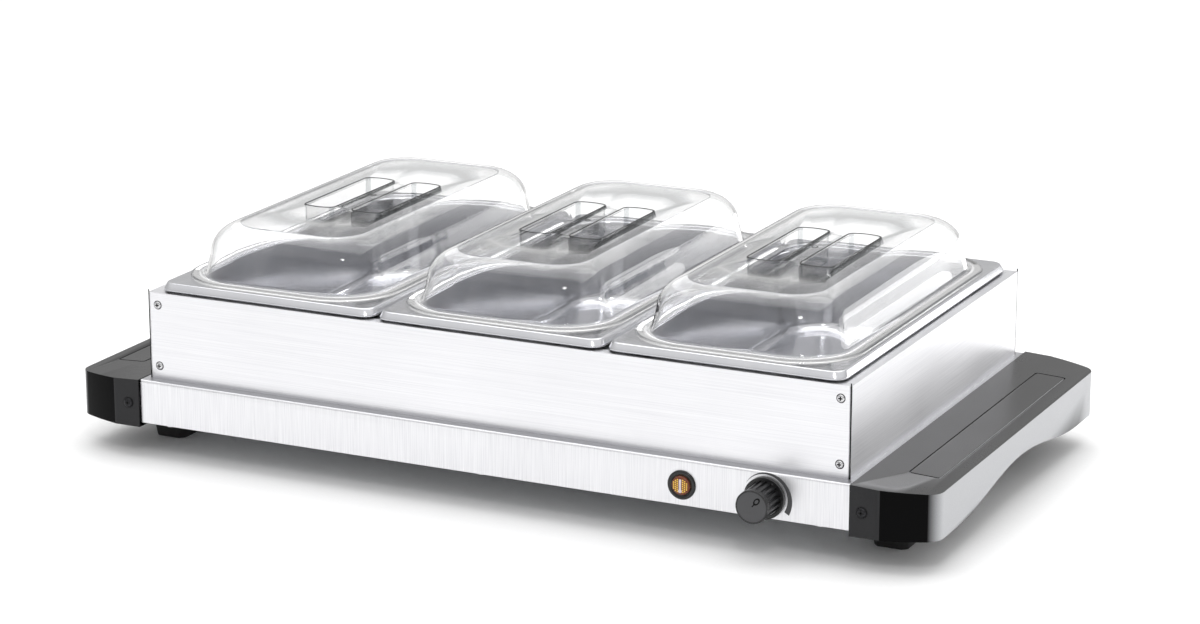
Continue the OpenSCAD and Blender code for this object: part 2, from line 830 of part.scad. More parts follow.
// Plan of a right-hand handle, drawn in from its outline by inset
module handle_plan(inset) {
    out = handle_out - inset;
    end_r = handle_end_r - inset;
    corner_r = handle_r - inset;
    cx = out - corner_r;
    cy = sqrt(pow(end_r - corner_r, 2) - pow(cx - end_x, 2));
    tx = end_x + (cx - end_x) * end_r / (end_r - corner_r);
    ty = cy * end_r / (end_r - corner_r);
    translate([handle_x, -handle_half + inset])
        square([handle_flat - inset, 2 * (handle_half - inset)]);
    difference() {
        intersection() {
            translate([end_x, 0]) circle(end_r, $fn = 360);
            translate([handle_x + handle_flat - inset - skin_t, -handle_half])
                square([out - handle_x - handle_flat + inset + skin_t, 2 * handle_half]);
        }
        for (s = [-1, 1]) scale([1, s])
            polygon([[cx, cy], [out, cy], [out + overrun, cy], [out + overrun, ty + corner_r],
                [tx + corner_r, ty + corner_r], [tx, ty]]);
    }
    for (s = [-1, 1]) translate([cx, s * cy]) circle(corner_r);
}

// Cross-section of a handle seen from the front: flat underside, falling top
module handle_slab(low, drop) {
    top = ledge_z + fit_gap - drop;
    rotate([90, 0, 0]) translate([0, 0, -handle_half - overrun])
        linear_extrude(2 * (handle_half + overrun))
            polygon([[handle_x - overrun, low], [handle_out + overrun, low],
                [handle_out + overrun, top - handle_fall], [handle_x - overrun, top]]);
}

// The raised-cosine arch that fingers reach through
module finger_arch() {
    line = [for (i = [0 : arch_steps]) let (y = arch_half * (2 * i / arch_steps - 1))
        [y, handle_z + arch_rise * (1 + cos(180 * y / arch_half)) / 2]];
    translate([handle_x + handle_flat + handle_wall, 0, 0]) rotate([90, 0, 90])
        linear_extrude(handle_w)
            polygon(concat([[-arch_half, handle_z - overrun]], line, [[arch_half, handle_z - overrun]]));
}

module handle_groove() {
    w = handle_out - groove_out - handle_x - groove_in;
    x = handle_x + groove_in + w / 2;
    intersection() {
        translate([x, 0, handle_z]) linear_extrude(ledge_z) difference() {
            rounded_rect(w, 2 * groove_half, groove_r);
            rounded_rect(w - 2 * groove_w, 2 * (groove_half - groove_w), groove_r - groove_w);
        }
        difference() {
            handle_slab(handle_z, -overrun);
            handle_slab(handle_z - overrun, groove_depth);
        }
    }
}

module handle() {
    difference() {
        intersection() {
            translate([0, 0, handle_z]) linear_extrude(ledge_z) handle_plan(0);
            handle_slab(handle_z, 0);
        }
        intersection() {
            translate([0, 0, handle_z + handle_wall]) linear_extrude(ledge_z) handle_plan(handle_wall);
            handle_slab(handle_z, handle_wall);
        }
        span_box([handle_x - overrun, -handle_half + handle_wall, handle_z + handle_wall],
            [handle_x + handle_flat, handle_half - handle_wall, ledge_z - handle_wall - fit_gap]);
        span_box([handle_x - overrun, -foot_y + handle_floor_in, handle_z - overrun],
            [handle_out - handle_wall, foot_y - handle_floor_in, handle_z + handle_wall + overrun]);
        finger_arch();
        handle_groove();
        for (s = [-1, 1])
            along_y(base_w / 2 + handle_screw_x, s * handle_half - handle_wall - overrun,
                handle_z + handle_screw_z, handle_screw_r + slip_gap, 2 * (handle_wall + overrun));
        for (s = [-1, 1]) translate([base_w / 2 + foot_in, s * foot_y, handle_z - overrun])
            cylinder(r = foot_screw_r + slip_gap, h = handle_wall + 2 * overrun);
    }
}

module right_handle() color("#2b2b2b") place() handle();

module left_handle() color("#2b2b2b") place() scale([-1, 1, 1]) handle();

module handle_screws() {
    color("black") place() each_quarter()
        translate([base_w / 2 + handle_screw_x, -handle_half, handle_z + handle_screw_z]) difference() {
            union() {
                along_y(0, -handle_head_t, 0, handle_head_r, handle_head_t);
                along_y(0, 0, 0, handle_screw_r, handle_screw_l);
            }
            along_y(0, -handle_head_t - overrun, 0, handle_screw_r, overrun + handle_head_t / 2);
        }
}

// Two sides of a foot, which lean out on the way up
module foot_wedge(low, high) {
    rotate([90, 0, 0]) translate([0, 0, -foot_w]) linear_extrude(2 * foot_w)
        polygon([[-low, 0], [low, 0], [high, foot_h], [-high, foot_h]]);
}

module foot(sx, sy) {
    low = foot_w / 2;
    high = low + foot_draft;
    color("#1c1c1c") place() translate([sx * (base_w / 2 + foot_in), sy * foot_y, 0]) difference() {
        intersection() {
            cylinder(r1 = foot_corner_r, r2 = foot_corner_r + foot_draft, h = foot_h);
            foot_wedge(low, high);
            rotate([0, 0, 90]) foot_wedge(low, high);
        }
        translate([0, 0, -overrun]) cylinder(r = foot_recess_r, h = foot_recess_l + overrun);
        cylinder(r = foot_screw_r + slip_gap, h = foot_h + overrun);
    }
}

module front_left_foot() foot(-1, -1);

module front_right_foot() foot(1, -1);

module back_left_foot() foot(-1, 1);

module back_right_foot() foot(1, 1);

module foot_screws() {
    color("silver") place() each_quarter()
        translate([base_w / 2 + foot_in, foot_y, foot_recess_l]) {
            translate([0, 0, -foot_head_t]) cylinder(r = foot_head_r, h = foot_head_t);
            cylinder(r = foot_screw_r, h = foot_h - foot_recess_l + handle_wall + 2 * bracket_t);
        }
}

// Pans

module pan_body(inset, floor_z0) {
    w = pan_w - 2 * rim_w - 2 * inset;
    l = pan_l - 2 * rim_w - 2 * inset;
    r = mouth_r - inset;
    f = pan_fillet - inset;
    hull() {
        section(w, l, r, rim_z - skin_t, $fn = hull_fn);
        for (a = [0, 45, 90]) {
            in = pan_draft + f * (1 - cos(a));
            section(w - 2 * in, l - 2 * in, r - in / 2, floor_z0 + f * (1 - sin(a)), $fn = hull_fn);
        }
    }
}

module rim_hull(inset, z) {
    hull() {
        section(pan_w - 2 * inset, pan_l - 2 * inset, rim_r - inset / 2, z, $fn = hull_fn);
        section(pan_w - 2 * (rim_slope + inset), pan_l - 2 * (rim_slope + inset),
            rim_r - rim_slope - inset / 2, z + rim_h - pan_wall - skin_t, $fn = hull_fn);
    }
}

module pan(x) {
    color("silver") place() translate([x, 0, 0]) difference() {
        union() {
            difference() {
                rim_hull(0, rim_z - rim_h + pan_wall);
                rim_hull(pan_wall, rim_z - rim_h);
                translate([0, 0, rim_z - rim_h - overrun]) linear_extrude(overrun)
                    square([pan_w, pan_l], center = true);
            }
            translate([0, 0, rim_z - rim_h]) linear_extrude(pan_wall) difference() {
                rounded_rect(pan_w, pan_l, rim_r);
                rounded_rect(pan_w - 2 * pan_wall, pan_l - 2 * pan_wall, rim_r - pan_wall);
            }
            pan_body(0, pan_z);
        }
        pan_body(pan_wall, pan_z + pan_wall);
        translate([0, 0, rim_z - 2 * skin_t]) linear_extrude(overrun)
            rounded_rect(pan_w - 2 * (rim_w + pan_wall), pan_l - 2 * (rim_w + pan_wall), mouth_r - pan_wall);
    }
}

module left_pan() pan(pan_places[0]);

module centre_pan() pan(pan_places[1]);

module right_pan() pan(pan_places[2]);

// Lids

module dome(inset, low) {
    w = pan_w - 2 * (lid_inset + lid_flange_w + inset);
    l = pan_l - 2 * (lid_inset + lid_flange_w + inset);
    r = lid_r - lid_flange_w - inset;
    f = lid_fillet - inset;
    hull() {
        section(w, l, r, low, $fn = hull_fn);
        for (a = [0 : 22.5 : 90]) {
            in = lid_draft + f * (1 - cos(a));
            section(w - 2 * in, l - 2 * in, r - in / 2, lid_z - inset - f * (1 - sin(a)) - skin_t,
                $fn = hull_fn);
        }
    }
}

// Plan of a finger well, grown by the given amount
module well_plan(grow) {
    w = well_w + 2 * grow;
    l = well_l + 2 * grow;
    end_r = well_end_r + grow;
    intersection() {
        rounded_rect(w, l, well_r + grow);
        union() {
            square([w, l - 2 * end_r], center = true);
            for (s = [-1, 1]) translate([0, s * (l / 2 - end_r)]) circle(end_r);
        }
    }
}

module lid(x) {
    w = pan_w - 2 * lid_inset;
    l = pan_l - 2 * lid_inset;
    floor = lid_z - well_depth;
    color("aliceblue", 0.4) place() translate([x, 0, 0]) difference() {
        union() {
            difference() {
                union() {
                    dome(0, rim_z);
                    translate([0, 0, rim_z]) linear_extrude(lid_flange_t) rounded_rect(w, l, lid_r);
                }
                dome(lid_wall, rim_z - overrun);
            }
            for (s = [-1, 1]) translate([s * well_x, 0, floor - lid_wall])
                linear_extrude(well_depth + lid_wall) well_plan(lid_wall);
        }
        for (s = [-1, 1]) translate([s * well_x, 0, floor])
            linear_extrude(well_depth + overrun) well_plan(0);
    }
}

module left_lid() lid(pan_places[0]);

module centre_lid() lid(pan_places[1]);

module right_lid() lid(pan_places[2]);

base_shell();
bottom_plate();
bottom_screws();
left_end_bracket();
right_end_bracket();
front_panel();
back_panel();
left_panel();
right_panel();
panel_screws();
pan_frame();
left_crossbar();
right_crossbar();
hot_plate();
heating_element();
element_clamps();
element_bushes();
reflector_tray();
insulation_mat();
overheat_cutout();
heat_regulator();
regulator_nut();
regulator_shaft();
control_knob();
lamp_bezel();
lamp_lens();
lamp_body();
terminal_block();
earth_stud();
internal_wiring();
cord_gland();
gland_nut();
left_handle();
right_handle();
handle_screws();
front_left_foot();
front_right_foot();
back_left_foot();
back_right_foot();
foot_screws();
left_pan();
centre_pan();
right_pan();
left_lid();
centre_lid();
right_lid();
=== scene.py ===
"""Electric food warmer tray: lift-out pans with clear lids over a heated steel base."""

import logging
import math
from collections.abc import Callable, Sequence
from dataclasses import dataclass, field
from enum import Enum

import bmesh
import bpy
from mathutils import Matrix, Vector


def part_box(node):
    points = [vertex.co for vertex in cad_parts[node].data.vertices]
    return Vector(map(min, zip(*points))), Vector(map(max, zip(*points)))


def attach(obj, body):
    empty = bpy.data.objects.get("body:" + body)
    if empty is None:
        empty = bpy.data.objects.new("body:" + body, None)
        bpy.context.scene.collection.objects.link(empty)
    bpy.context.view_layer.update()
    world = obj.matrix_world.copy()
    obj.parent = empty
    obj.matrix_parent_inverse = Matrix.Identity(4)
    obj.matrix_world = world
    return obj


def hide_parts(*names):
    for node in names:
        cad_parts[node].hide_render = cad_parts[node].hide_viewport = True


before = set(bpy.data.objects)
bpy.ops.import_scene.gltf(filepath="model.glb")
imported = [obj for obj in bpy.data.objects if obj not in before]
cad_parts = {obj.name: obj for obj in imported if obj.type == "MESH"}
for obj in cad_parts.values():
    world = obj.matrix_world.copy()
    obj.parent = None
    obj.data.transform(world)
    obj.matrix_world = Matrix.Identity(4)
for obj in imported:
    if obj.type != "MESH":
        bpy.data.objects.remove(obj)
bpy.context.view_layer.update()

LOG = logging.getLogger("warmer")
MM = 0.001
Point = tuple[float, float, float]

# Segments of a rounded corner, of a finger well's corner, of a bowed end, of an arc and of a round loop
CORNER_STEPS = 20
WELL_STEPS = 5
BOW_CUTS = 7
ARC_STEPS = 60
ROUND_SIDES = 64
# Segments of a quarter bend: at a pan's mouth, at a floor and at a lid's crown
MOUTH_STEPS = 4
FLOOR_STEPS = 6
CROWN_STEPS = 10
# Distance in mm within which two points are one, in a new form and in a CAD node's copy
JOIN_MM = 0.0005
COPY_JOIN_MM = 0.003
# Least slope in mm between points that counts as a step
STEP_MM = 1e-4
# Angles in degrees up to which neighbouring faces are one, and above which an edge is sharp
FLAT_DEG = 0.2
SHARP_DEG = 40.0


class Place(Enum):
    """The three openings of the tray."""

    LEFT = "left"
    CENTRE = "centre"
    RIGHT = "right"


class Side(Enum):
    """The two ends of the tray, as the sign of X."""

    LEFT = -1
    RIGHT = 1


# Finishes


def shade(code: str) -> tuple[float, float, float, float]:
    """Turns an sRGB hex colour into a linear one.

    Args:
        code: Colour such as "#aabbcc".

    Returns:
        Linear red, green, blue and an alpha of one.
    """
    parts = [int(code[i : i + 2], 16) / 255 for i in (1, 3, 5)]
    linear = [p / 12.92 if p <= 0.04045 else ((p + 0.055) / 1.055) ** 2.4 for p in parts]
    return (linear[0], linear[1], linear[2], 1.0)


def add_node(
    tree: bpy.types.NodeTree,
    kind: str,
    links: dict | None = None,
    values: dict | None = None,
    **settings: object,
) -> bpy.types.Node:
    """Adds a shader node with its links and values.

    Args:
        tree: Node tree that gets the node.
        kind: Node type.
        links: Input socket to the output that feeds it.
        values: Input socket to its constant.
        settings: Attributes of the node itself.

    Returns:
        The new node.
    """
    node = tree.nodes.new(kind)
    for name, value in settings.items():
        setattr(node, name, value)
    for socket, value in (values or {}).items():
        node.inputs[socket].default_value = value
    for socket, source in (links or {}).items():
        tree.links.new(source, node.inputs[socket])
    return node


@dataclass(frozen=True)
class Coat:
    """What every finish has: a name and a surface."""

    name: str

    def surface(self, tree: bpy.types.NodeTree) -> bpy.types.NodeSocket:
        """Adds the finish's nodes; each kind of finish has its own.

        Args:
            tree: Node tree that gets them.

        Returns:
            The socket that shades the surface.
        """
        raise NotImplementedError

    def material(self) -> bpy.types.Material:
        """Makes the material on its first use.

        Returns:
            The material.
        """
        found = bpy.data.materials.get(self.name)
        if found:
            return found
        material = bpy.data.materials.new(self.name)
        material.use_nodes = True
        tree = material.node_tree
        tree.nodes.clear()
        add_node(tree, "ShaderNodeOutputMaterial", {"Surface": self.surface(tree)})
        return material


@dataclass(frozen=True)
class Finish(Coat):
    """A solid finish whose grain has real sizes in mm.

    Tones are the grain's values that give the deep and the light colour, sheens those of the roughness.
    """

    light: str
    deep: str
    roughness: float
    metallic: float = 0.0
    swing: float = 0.06
    grain_mm: Point = (1.0, 1.0, 1.0)
    relief_mm: float = 0.01
    patch_mm: float = 70.0
    edge_mm: float = 0.2
    level: float = 0.5
    tones: tuple[float, float] = (0.3, 0.7)
    sheens: tuple[float, float] = (0.6, 1.4)

    def surface(self, tree: bpy.types.NodeTree) -> bpy.types.NodeSocket:
        """Adds the finish's nodes.

        Args:
            tree: Node tree that gets them.

        Returns:
            The socket that shades the surface.
        """
        place = add_node(tree, "ShaderNodeTexCoord").outputs["Object"]
        scaled = add_node(tree, "ShaderNodeMapping", {"Vector": place},
                          {"Scale": [1 / (g * MM) for g in self.grain_mm]})
        grain = add_node(tree, "ShaderNodeTexNoise", {"Vector": scaled.outputs[0]},
                         {"Scale": 1.0, "Detail": 3.0, "Roughness": 0.6})
        patch = add_node(tree, "ShaderNodeTexNoise", {"Vector": place},
                         {"Scale": 1 / (self.patch_mm * MM), "Detail": 2.0})
        tone = add_node(tree, "ShaderNodeValToRGB", {"Fac": grain.outputs[0]})
        tone.color_ramp.elements[0].position = self.tones[0]
        tone.color_ramp.elements[0].color = shade(self.deep)
        tone.color_ramp.elements[1].position = self.tones[1]
        tone.color_ramp.elements[1].color = shade(self.light)
        both = add_node(tree, "ShaderNodeMath", {0: grain.outputs[0], 1: patch.outputs[0]}, operation="ADD")
        rough = add_node(tree, "ShaderNodeMapRange", {"Value": both.outputs[0]},
                         {"From Min": self.sheens[0], "From Max": self.sheens[1],
                          "To Min": self.roughness - self.swing, "To Max": self.roughness + self.swing})
        soft = add_node(tree, "ShaderNodeBevel", None, {"Radius": self.edge_mm * MM}, samples=4)
        bump = add_node(tree, "ShaderNodeBump", {"Height": grain.outputs[0], "Normal": soft.outputs[0]},
                        {"Strength": 1.0, "Distance": self.relief_mm * MM})
        surface = add_node(tree, "ShaderNodeBsdfPrincipled",
                           {"Base Color": tone.outputs[0], "Roughness": rough.outputs[0],
                            "Normal": bump.outputs[0]},
                           {"Metallic": self.metallic, "Specular IOR Level": self.level})
        return surface.outputs[0]


@dataclass(frozen=True)
class HandleFinish(Coat):
    """The handle's moulding: gloss ends, a satin top, matt screw flats and a painted reflection on the outer
    side.

    Each turn is how far the surface faces that way where its finish starts and where it is full.
    """

    gloss: Finish
    top: Finish
    flat: Finish
    side: Finish
    side_in_mm: float = 323.0
    flat_out_mm: float = 300.5
    top_turn: tuple[float, float] = (0.4, 0.7)
    flat_turn: tuple[float, float] = (0.7, 0.8)
    side_turn: tuple[float, float] = (0.5, 0.98)

    def surface(self, tree: bpy.types.NodeTree) -> bpy.types.NodeSocket:
        """Adds the four finishes and the masks between them.

        Args:
            tree: Node tree that gets them.

        Returns:
            The socket that shades the surface.
        """
        coords = add_node(tree, "ShaderNodeTexCoord")
        place = add_node(tree, "ShaderNodeSeparateXYZ", {0: coords.outputs["Object"]}).outputs
        normal = add_node(tree, "ShaderNodeSeparateXYZ", {0: coords.outputs["Normal"]}).outputs
        reach = add_node(tree, "ShaderNodeMath", {0: place["X"]}, operation="ABSOLUTE").outputs[0]
        end = add_node(tree, "ShaderNodeMath", {0: place["X"]}, operation="SIGN").outputs[0]
        outward = add_node(tree, "ShaderNodeMath", {0: end, 1: normal["X"]}, operation="MULTIPLY").outputs[0]
        along = add_node(tree, "ShaderNodeMath", {0: normal["Y"]}, operation="ABSOLUTE").outputs[0]
        beyond = add_node(tree, "ShaderNodeMath", {0: reach}, {1: self.side_in_mm * MM},
                          operation="GREATER_THAN").outputs[0]
        within = add_node(tree, "ShaderNodeMath", {0: reach}, {1: self.flat_out_mm * MM},
                          operation="LESS_THAN").outputs[0]
        upper = add_node(tree, "ShaderNodeMapRange", {"Value": normal["Z"]},
                         {"From Min": self.top_turn[0], "From Max": self.top_turn[1]})
        inner = add_node(tree, "ShaderNodeMapRange", {"Value": along, "To Max": within},
                         {"From Min": self.flat_turn[0], "From Max": self.flat_turn[1]})
        # Faces that look outward at the far end get the painted reflection.
        outer = add_node(tree, "ShaderNodeMapRange", {"Value": outward, "To Max": beyond},
                         {"From Min": self.side_turn[0], "From Max": self.side_turn[1]})
        shaded = self.gloss.surface(tree)
        for mask, finish in ((upper, self.top), (inner, self.flat), (outer, self.side)):
            shaded = add_node(tree, "ShaderNodeMixShader",
                              {0: mask.outputs[0], 1: shaded, 2: finish.surface(tree)}).outputs[0]
        return shaded


@dataclass(frozen=True)
class ClearFinish(Coat):
    """A see-through plastic with faint moulding ripples."""

    colour: str
    ior: float
    roughness: float = 0.02
    clear: float = 1.0
    ripple_mm: float = 28.0
    relief_mm: float = 0.05
    shadow: str = "#fbfbfb"
    edge: str = ""
    edge_turn: tuple[float, float] = (0.84, 0.97)
    edge_share: float = 0.85

    def surface(self, tree: bpy.types.NodeTree) -> bpy.types.NodeSocket:
        """Adds the finish's nodes.

        Args:
            tree: Node tree that gets them.

        Returns:
            The socket that shades the surface.
        """
        place = add_node(tree, "ShaderNodeTexCoord").outputs["Object"]
        ripple = add_node(tree, "ShaderNodeTexNoise", {"Vector": place},
                          {"Scale": 1 / (self.ripple_mm * MM), "Detail": 1.0})
        bump = add_node(tree, "ShaderNodeBump", {"Height": ripple.outputs[0]},
                        {"Strength": 1.0, "Distance": self.relief_mm * MM})
        surface = add_node(tree, "ShaderNodeBsdfPrincipled", {"Normal": bump.outputs[0]},
                           {"Base Color": shade(self.colour), "Roughness": self.roughness,
                            "IOR": self.ior, "Transmission Weight": self.clear})
        if self.edge:
            # Painted shade: a dark line is painted where the thick clear wall turns away from the eye.
            facing = add_node(tree, "ShaderNodeLayerWeight", None, {"Blend": 0.5}).outputs["Facing"]
            turned = add_node(tree, "ShaderNodeMapRange", {"Value": facing},
                              {"From Min": self.edge_turn[0], "From Max": self.edge_turn[1],
                               "To Max": self.edge_share})
            dark = add_node(tree, "ShaderNodeBsdfTransparent", None, {"Color": shade(self.edge)})
            surface = add_node(tree, "ShaderNodeMixShader",
                               {0: turned.outputs[0], 1: surface.outputs[0], 2: dark.outputs[0]})
        # Light that comes by way of another surface passes straight through, which keeps the inside bright.
        path = add_node(tree, "ShaderNodeLightPath").outputs
        bounced = add_node(tree, "ShaderNodeMath", {0: path["Is Glossy Ray"], 1: path["Is Diffuse Ray"]},
                           operation="MAXIMUM")
        outside = add_node(tree, "ShaderNodeMath", {0: bounced.outputs[0], 1: path["Is Transmission Ray"]},
                           operation="SUBTRACT", use_clamp=True)
        passing = add_node(tree, "ShaderNodeMath", {0: outside.outputs[0], 1: path["Is Shadow Ray"]},
                           operation="MAXIMUM")
        passed = add_node(tree, "ShaderNodeBsdfTransparent", None, {"Color": shade(self.shadow)})
        lit = add_node(tree, "ShaderNodeMixShader", {0: passing.outputs[0], 1: surface.outputs[0],
                                                     2: passed.outputs[0]})
        return lit.outputs[0]


@dataclass(frozen=True)
class ClearSheet(Coat):
    """A thin clear wall, drawn as one surface that mirrors as both of its faces do."""

    middle: str
    edge: str
    ior: float
    roughness: float = 0.03
    ripple_mm: float = 30.0
    relief_mm: float = 0.08
    tint_from: float = 0.8
    two_faces: float = 1.8
    most: float = 0.9
    steepness: float = 5.0

    def surface(self, tree: bpy.types.NodeTree) -> bpy.types.NodeSocket:
        """Adds the finish's nodes.

        Args:
            tree: Node tree that gets them.

        Returns:
            The socket that shades the surface.
        """
        place = add_node(tree, "ShaderNodeTexCoord").outputs["Object"]
        ripple = add_node(tree, "ShaderNodeTexNoise", {"Vector": place},
                          {"Scale": 1 / (self.ripple_mm * MM), "Detail": 1.0})
        bump = add_node(tree, "ShaderNodeBump", {"Height": ripple.outputs[0]},
                        {"Strength": 1.0, "Distance": self.relief_mm * MM})
        gloss = add_node(tree, "ShaderNodeBsdfGlossy", {"Normal": bump.outputs[0]},
                         {"Color": (1.0, 1.0, 1.0, 1.0), "Roughness": self.roughness})
        facing = add_node(tree, "ShaderNodeLayerWeight", None, {"Blend": 0.5})
        # Painted shade: the see-through tint darkens from its middle colour to its edge colour as the wall
        # turns away from the eye.
        tint = add_node(tree, "ShaderNodeValToRGB", {"Fac": facing.outputs["Facing"]})
        tint.color_ramp.elements[0].position = self.tint_from
        tint.color_ramp.elements[0].color = shade(self.middle)
        tint.color_ramp.elements[1].position = 1.0
        tint.color_ramp.elements[1].color = shade(self.edge)
        seen = add_node(tree, "ShaderNodeBsdfTransparent", {"Color": tint.outputs[0]})
        # The wall has two faces, so head on it mirrors nearly twice what one face does.
        least = self.two_faces * ((self.ior - 1) / (self.ior + 1)) ** 2
        rise = add_node(tree, "ShaderNodeMath", {0: facing.outputs["Facing"]}, {1: self.steepness},
                        operation="POWER")
        mirror = add_node(tree, "ShaderNodeMapRange", {"Value": rise.outputs[0]},
                          {"To Min": least, "To Max": self.most})
        mixed = add_node(tree, "ShaderNodeMixShader", {0: mirror.outputs[0], 1: seen.outputs[0],
                                                       2: gloss.outputs[0]})
        return mixed.outputs[0]


# Brushed along the sheet by belt: faint level streaks and a soft, blurred mirror. Real brushing is
# about 0.1 mm apart; here and below it is coarsened so that it shows.
PANEL_STEEL = Finish("stainless_steel_brushed_along", "#efeff1", "#dfdfe2", roughness=0.34, metallic=1.0,
                     swing=0.07, grain_mm=(90.0, 90.0, 0.5), relief_mm=0.006, patch_mm=120.0, edge_mm=0.4)
# Brushed upright before it was folded: streaks from edge to edge, highlights drawn out sideways.
BASE_STEEL = Finish("stainless_steel_brushed_upright", "#eeeef0", "#dadadd", roughness=0.36, metallic=1.0,
                    grain_mm=(0.6, 0.6, 45.0), relief_mm=0.006, patch_mm=120.0, edge_mm=0.4)
# The same sheet on its level ledge, brushed along, in painted shade: a darker, softer band.
LEDGE_PAINTED_SHADE = Finish("stainless_steel_ledge_painted_shade", "#c6c6c9", "#aeaeb2", roughness=0.38, metallic=1.0,
                     grain_mm=(90.0, 0.6, 0.6), relief_mm=0.006, patch_mm=120.0, edge_mm=0.4)
# Dipped in zinc: a dull, slightly blue grey with cloudy patches.
SHEET_STEEL = Finish("steel_zinc_dipped", "#c2c4c6", "#a6a8ab", roughness=0.42, metallic=1.0, swing=0.08,
                     grain_mm=(6.0, 6.0, 6.0))
# Cold rolled and left so: an even, soft sheen with rolling lines.
FRAME_STEEL = Finish("stainless_steel_cold_rolled", "#d6d7d8", "#bfc0c2", roughness=0.3, metallic=1.0,
                     grain_mm=(40.0, 0.8, 0.8), relief_mm=0.004)
# Deep drawn, then polished: clear reflections that bend a little where the sheet was stretched.
PAN_STEEL = Finish("stainless_steel_drawn_polished", "#d3d3d6", "#cbccd0", roughness=0.17, metallic=1.0,
                   swing=0.03, grain_mm=(26.0, 26.0, 26.0), relief_mm=0.004, patch_mm=80.0, edge_mm=0.3)
# Headed cold and tumbled: small bright highlights with a faint haze.
BRIGHT_STEEL = Finish("stainless_steel_cold_headed", "#dadadb", "#bebec0", roughness=0.22, metallic=1.0,
                      grain_mm=(1.5, 1.5, 1.5), relief_mm=0.004)
# Turned: fine rings round the axis that draw the highlight out along it.
TURNED_STEEL = Finish("steel_turned", "#c8c8ca", "#adadb0", roughness=0.27, metallic=1.0, swing=0.05,
                      grain_mm=(8.0, 0.3, 8.0), relief_mm=0.004)
# Rolled: a pale sheen with long lines.
ALUMINIUM = Finish("aluminium_rolled", "#cfd0d2", "#b6b8ba", roughness=0.36, metallic=1.0, swing=0.08,
                   grain_mm=(60.0, 0.8, 0.8), relief_mm=0.005)
# Moulded in a polished mould: deep black with sharp, weak reflections.
HANDLE_GLOSS = Finish("abs_moulded_gloss", "#040405", "#030303", roughness=0.2, swing=0.04,
                      grain_mm=(0.7, 0.7, 0.7), relief_mm=0.003, patch_mm=80.0, edge_mm=1.0, level=0.05)
# Moulded against a finely eroded face: black under a broad, pale sheen.
HANDLE_TOP = Finish("abs_moulded_satin", "#0a0a0b", "#060607", roughness=0.3, swing=0.05,
                    grain_mm=(0.6, 0.6, 0.6), relief_mm=0.006, patch_mm=90.0, edge_mm=1.0, level=0.6)
# Moulded against a blasted face: matt dark grey without a mirror.
HANDLE_FLAT = Finish("abs_moulded_matt", "#242426", "#1a1a1c", roughness=0.5, swing=0.05,
                     grain_mm=(0.5, 0.5, 0.5), relief_mm=0.012, patch_mm=60.0, edge_mm=0.5, level=0.3)
# Painted reflection on the black outer side: an even light grey with soft highlights.
SIDE_PAINTED_REFLECTION = Finish("abs_side_painted_reflection", "#b9babc", "#adaeb1", roughness=0.38, swing=0.04,
                      grain_mm=(0.6, 0.6, 0.6), relief_mm=0.004, patch_mm=90.0, edge_mm=1.0, level=0.3)
# One moulding with the three textures above, and a painted reflection on its outer side.
HANDLE_PLASTIC = HandleFinish("abs_moulded_painted_side_reflection", HANDLE_GLOSS, HANDLE_TOP, HANDLE_FLAT, SIDE_PAINTED_REFLECTION)
# Pressed hot: dull black with a slight bloom.
FOOT_RUBBER = Finish("rubber_press_moulded", "#1b1b1b", "#101010", roughness=0.62, swing=0.08,
                     grain_mm=(0.8, 0.8, 0.8), relief_mm=0.02)
# Pressed in a polished mould: black with a soft shine on the flutes.
KNOB_BODY = Finish("phenolic_pressed_gloss", "#161617", "#0e0e0f", roughness=0.33, grain_mm=(0.5, 0.5, 0.5),
                   patch_mm=20.0, edge_mm=0.25)
# Painted shade of the pressed grooves: black without a shine.
KNOB_GROOVE_SHADE = Finish("phenolic_groove_painted_shade", "#0b0b0b", "#060606", roughness=0.6, swing=0.04,
                     grain_mm=(0.5, 0.5, 0.5), relief_mm=0.004, level=0.1)
# Faced off after pressing: a matt grey disc.
KNOB_FACE = Finish("phenolic_faced_matt", "#48484a", "#3c3c3e", roughness=0.45, swing=0.05,
                   grain_mm=(0.4, 0.4, 0.4), relief_mm=0.008)
# Moulded: black with a waxy shine.
BLACK_NYLON = Finish("nylon_moulded", "#161616", "#0d0d0d", roughness=0.34, grain_mm=(0.6, 0.6, 0.6),
                     relief_mm=0.008)
# Moulded in a mirror-polished mould: black with sharp reflections.
GLOSS_BLACK = Finish("polycarbonate_moulded_black", "#0e0e0e", "#080808", roughness=0.14, swing=0.03,
                     grain_mm=(0.8, 0.8, 0.8), relief_mm=0.003)
# Blackened in hot salts: dark grey that still shines as metal.
BLACK_OXIDE = Finish("steel_blackened", "#38383a", "#232325", roughness=0.3, metallic=0.9,
                     grain_mm=(0.8, 0.8, 0.8), relief_mm=0.006)
# Painted shade for gaps and recesses below the finished face: dull and nearly black.
RECESS_SHADE = Finish("painted_recess_shade", "#1d1d1e", "#111112", roughness=0.55, metallic=0.6, swing=0.05,
                grain_mm=(0.5, 0.5, 0.5))
# Pressed with wood filler: matt dark brown.
DARK_CASE = Finish("phenolic_pressed_brown", "#2c2926", "#1e1c1a", roughness=0.48, grain_mm=(0.8, 0.8, 0.8),
                   relief_mm=0.02)
# Drawn tube, browned by its own heat: uneven dark patches.
HOT_SHEATH = Finish("steel_sheath_heat_browned", "#4c4743", "#2f2b29", roughness=0.46, metallic=1.0,
                    swing=0.1, grain_mm=(4.0, 4.0, 4.0), relief_mm=0.02)
# Pressed and fired without glaze: chalky white.
CERAMIC = Finish("steatite_fired", "#efebe2", "#dfd9cd", roughness=0.55, grain_mm=(0.6, 0.6, 0.6),
                 relief_mm=0.02)
